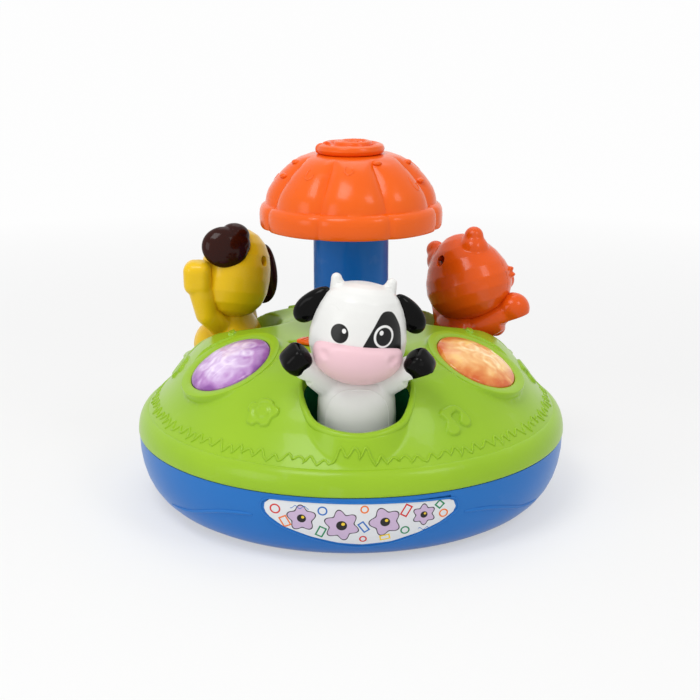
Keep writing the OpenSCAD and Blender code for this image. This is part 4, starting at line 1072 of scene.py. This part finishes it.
catTorso = {"depth": 0.77, "outline": dogTorso["outline"][:-2] + [(10, 88), (0, 89)]}
paws = [limb((-12, -1, 81), (-23.4, -11.2, 89.5), 8.0, 8.0),
        ball((-26.4, -13.2, 92.4), (9.4, 9.0, 9.0), (0, 0, 30)),
        limb((12, -1, 83), (25.0, -10.0, 96.4), 7.0, 5.8), ball((25.8, -10.6, 98.4), (7.0, 6.8, 7.4)),
        ball((-13.4, -14.6, 79.4), (6.2, 5.6, 5.8))]
handBody("cat", catTorso, paws, catBody, catOrange, "cat_orange")
print("cat")

# What is left of the frame's own pieces: a finish for each of their slots
def cellMarks(paint, base):  # bare metal ends on the wrapped cells
    x, y, z = paint.axes()
    band = ((paint.noise(paint.place(), 0.02) - 0.5) * 0.2 + (y * 0.35).wave() * 0.5 + 0.5).clamp()
    return paint.blend(band, base, tone(186, 140, 60))


def boardMarks(paint, base):  # faint copper tracks under the mask
    x, y, z = paint.axes()
    grid = abs((x * 1.1).wave() * (y * 0.9).wave())
    return paint.blend(((grid - 0.72) * 6).clamp() * 0.5, base, tone(70, 160, 90))


def coneMarks(paint, base):  # rings of a paper cone
    x, y, z = paint.axes()
    reach = (x * x + (y - 40) * (y - 40)) ** 0.5
    return paint.blend(((reach * 1.6).wave() * 0.5 + 0.5) * 0.5, base, tone(52, 50, 50))


finishes = {
    "blue_plastic": blue,
    "steel": plastic("plated steel", tone(176, 178, 182), 0.3, 0.0, drift=0.06, skin=0.08, Metallic=1.0),
    "cell_jacket": plastic("cell jacket", tone(36, 38, 44), 0.34, 0.1, marks=cellMarks),
    "board_green": plastic("board mask", tone(24, 92, 46), 0.4, 0.1, marks=boardMarks),
    "speaker_black": plastic("speaker paper", tone(28, 27, 27), 0.7, 0.0, skin=0.3, marks=coneMarks),
    "white_plastic": plastic("natural white plastic", tone(226, 225, 220), 0.45, 0.0, drift=0.03, skin=0.08),
}
slotNodes = {
    "blue_plastic": ["battery_door"],
    "cell_jacket": ["batteries"],
    "board_green": ["circuit_board", "left_button_board", "right_button_board", "rear_button_board"],
    "speaker_black": ["speaker", "switch_body"],
    "white_plastic": ["gear_deck", "pump_guide", "clutch_nut", "sun_gear", "cow_spindle", "dog_spindle",
                      "cat_spindle"],
    "steel": ["battery_door_screw", "battery_contacts", "pump_spring", "housing_screws", "deck_screws",
              "guide_screws", "left_button_spring", "right_button_spring", "rear_button_spring", "cap_screws",
              "drive_bar", "head_screws_cow", "head_screws_dog", "head_screws_cat"],
}
for slot, nodes in slotNodes.items():
    for node in nodes:
        dress(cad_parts[node], finishes[slot])
print("inner pieces", sum(len(nodes) for nodes in slotNodes.values()))

# Stage: a pale floor that turns to plain white away from the toy
stageLook = {"nearRadius": 300, "farRadius": 900, "nearWhite": 0.5, "farWhite": 0.97, "sky": 0.6, "aim": (0, 0, 0.09),
             "lamps": (((-0.3, -0.42, 1.0), 0.42, 3.5), ((0.55, -0.5, 0.8), 0.3, 1.3), ((0.1, 0.5, 1.1), 0.6, 1.4),
                       ((-0.9, -0.7, 0.45), 0.5, 1.8))}
cameraLook = {"lens": 68.9, "sensor": 36, "shift": -1 / 700, "at": (-25.65, -699.5, 272.5), "turn": (74.37, 0, -2.1)}
letGo()
bpy.ops.mesh.primitive_plane_add(size=80)
floor = bpy.context.object
floor.name = "floor"
paint = Paint("pale floor", Roughness=0.9, Base_Color=(0.88, 0.88, 0.88, 1), Specular_IOR_Level=0.1)
x, y, z = paint.axes()
near, away = stageLook["nearRadius"], stageLook["farRadius"]
far = (((x * x + y * y) ** 0.5 - near) / (away - near)).clamp()
white = far * (stageLook["farWhite"] - stageLook["nearWhite"]) + stageLook["nearWhite"]
glow = paint.make("ShaderNodeEmission", inputs={"Color": (1, 1, 1, 1), "Strength": 1.0})
plain = Value(paint, paint.shader.outputs[0])
mixed = paint.make("ShaderNodeMixShader", inputs={0: paint.seen() * white, 1: plain, 2: glow})
output = [node for node in paint.tree.nodes if node.type == "OUTPUT_MATERIAL"][0]
paint.tree.links.new(mixed.socket, output.inputs[0])
dress(floor, paint.material)

world = bpy.data.worlds.new("studio")
bpy.context.scene.world = world
world.use_nodes = True
strength = Paint(tree=world.node_tree).seen() * (1 - stageLook["sky"]) + stageLook["sky"]
backdrop = world.node_tree.nodes["Background"]
backdrop.inputs[0].default_value = (1, 1, 1, 1)
world.node_tree.links.new(strength.socket, backdrop.inputs[1])

for at, size, power in stageLook["lamps"]:
    lamp = bpy.data.lights.new("softbox", "AREA")
    lamp.shape, lamp.size, lamp.energy = "SQUARE", size, power
    holder = added("softbox", lamp)
    holder.location = at
    holder.rotation_euler = (Vector(stageLook["aim"]) - Vector(at)).to_track_quat("-Z", "Y").to_euler()

cameraData = bpy.data.cameras.new("camera")
cameraData.lens, cameraData.sensor_width = cameraLook["lens"], cameraLook["sensor"]
cameraData.shift_x = cameraLook["shift"]
camera = added("camera", cameraData)
camera.location = scaled(cameraLook["at"])
camera.rotation_euler = [math.radians(a) for a in cameraLook["turn"]]
bpy.context.scene.camera = camera
bpy.context.scene.view_settings.view_transform = "Standard"
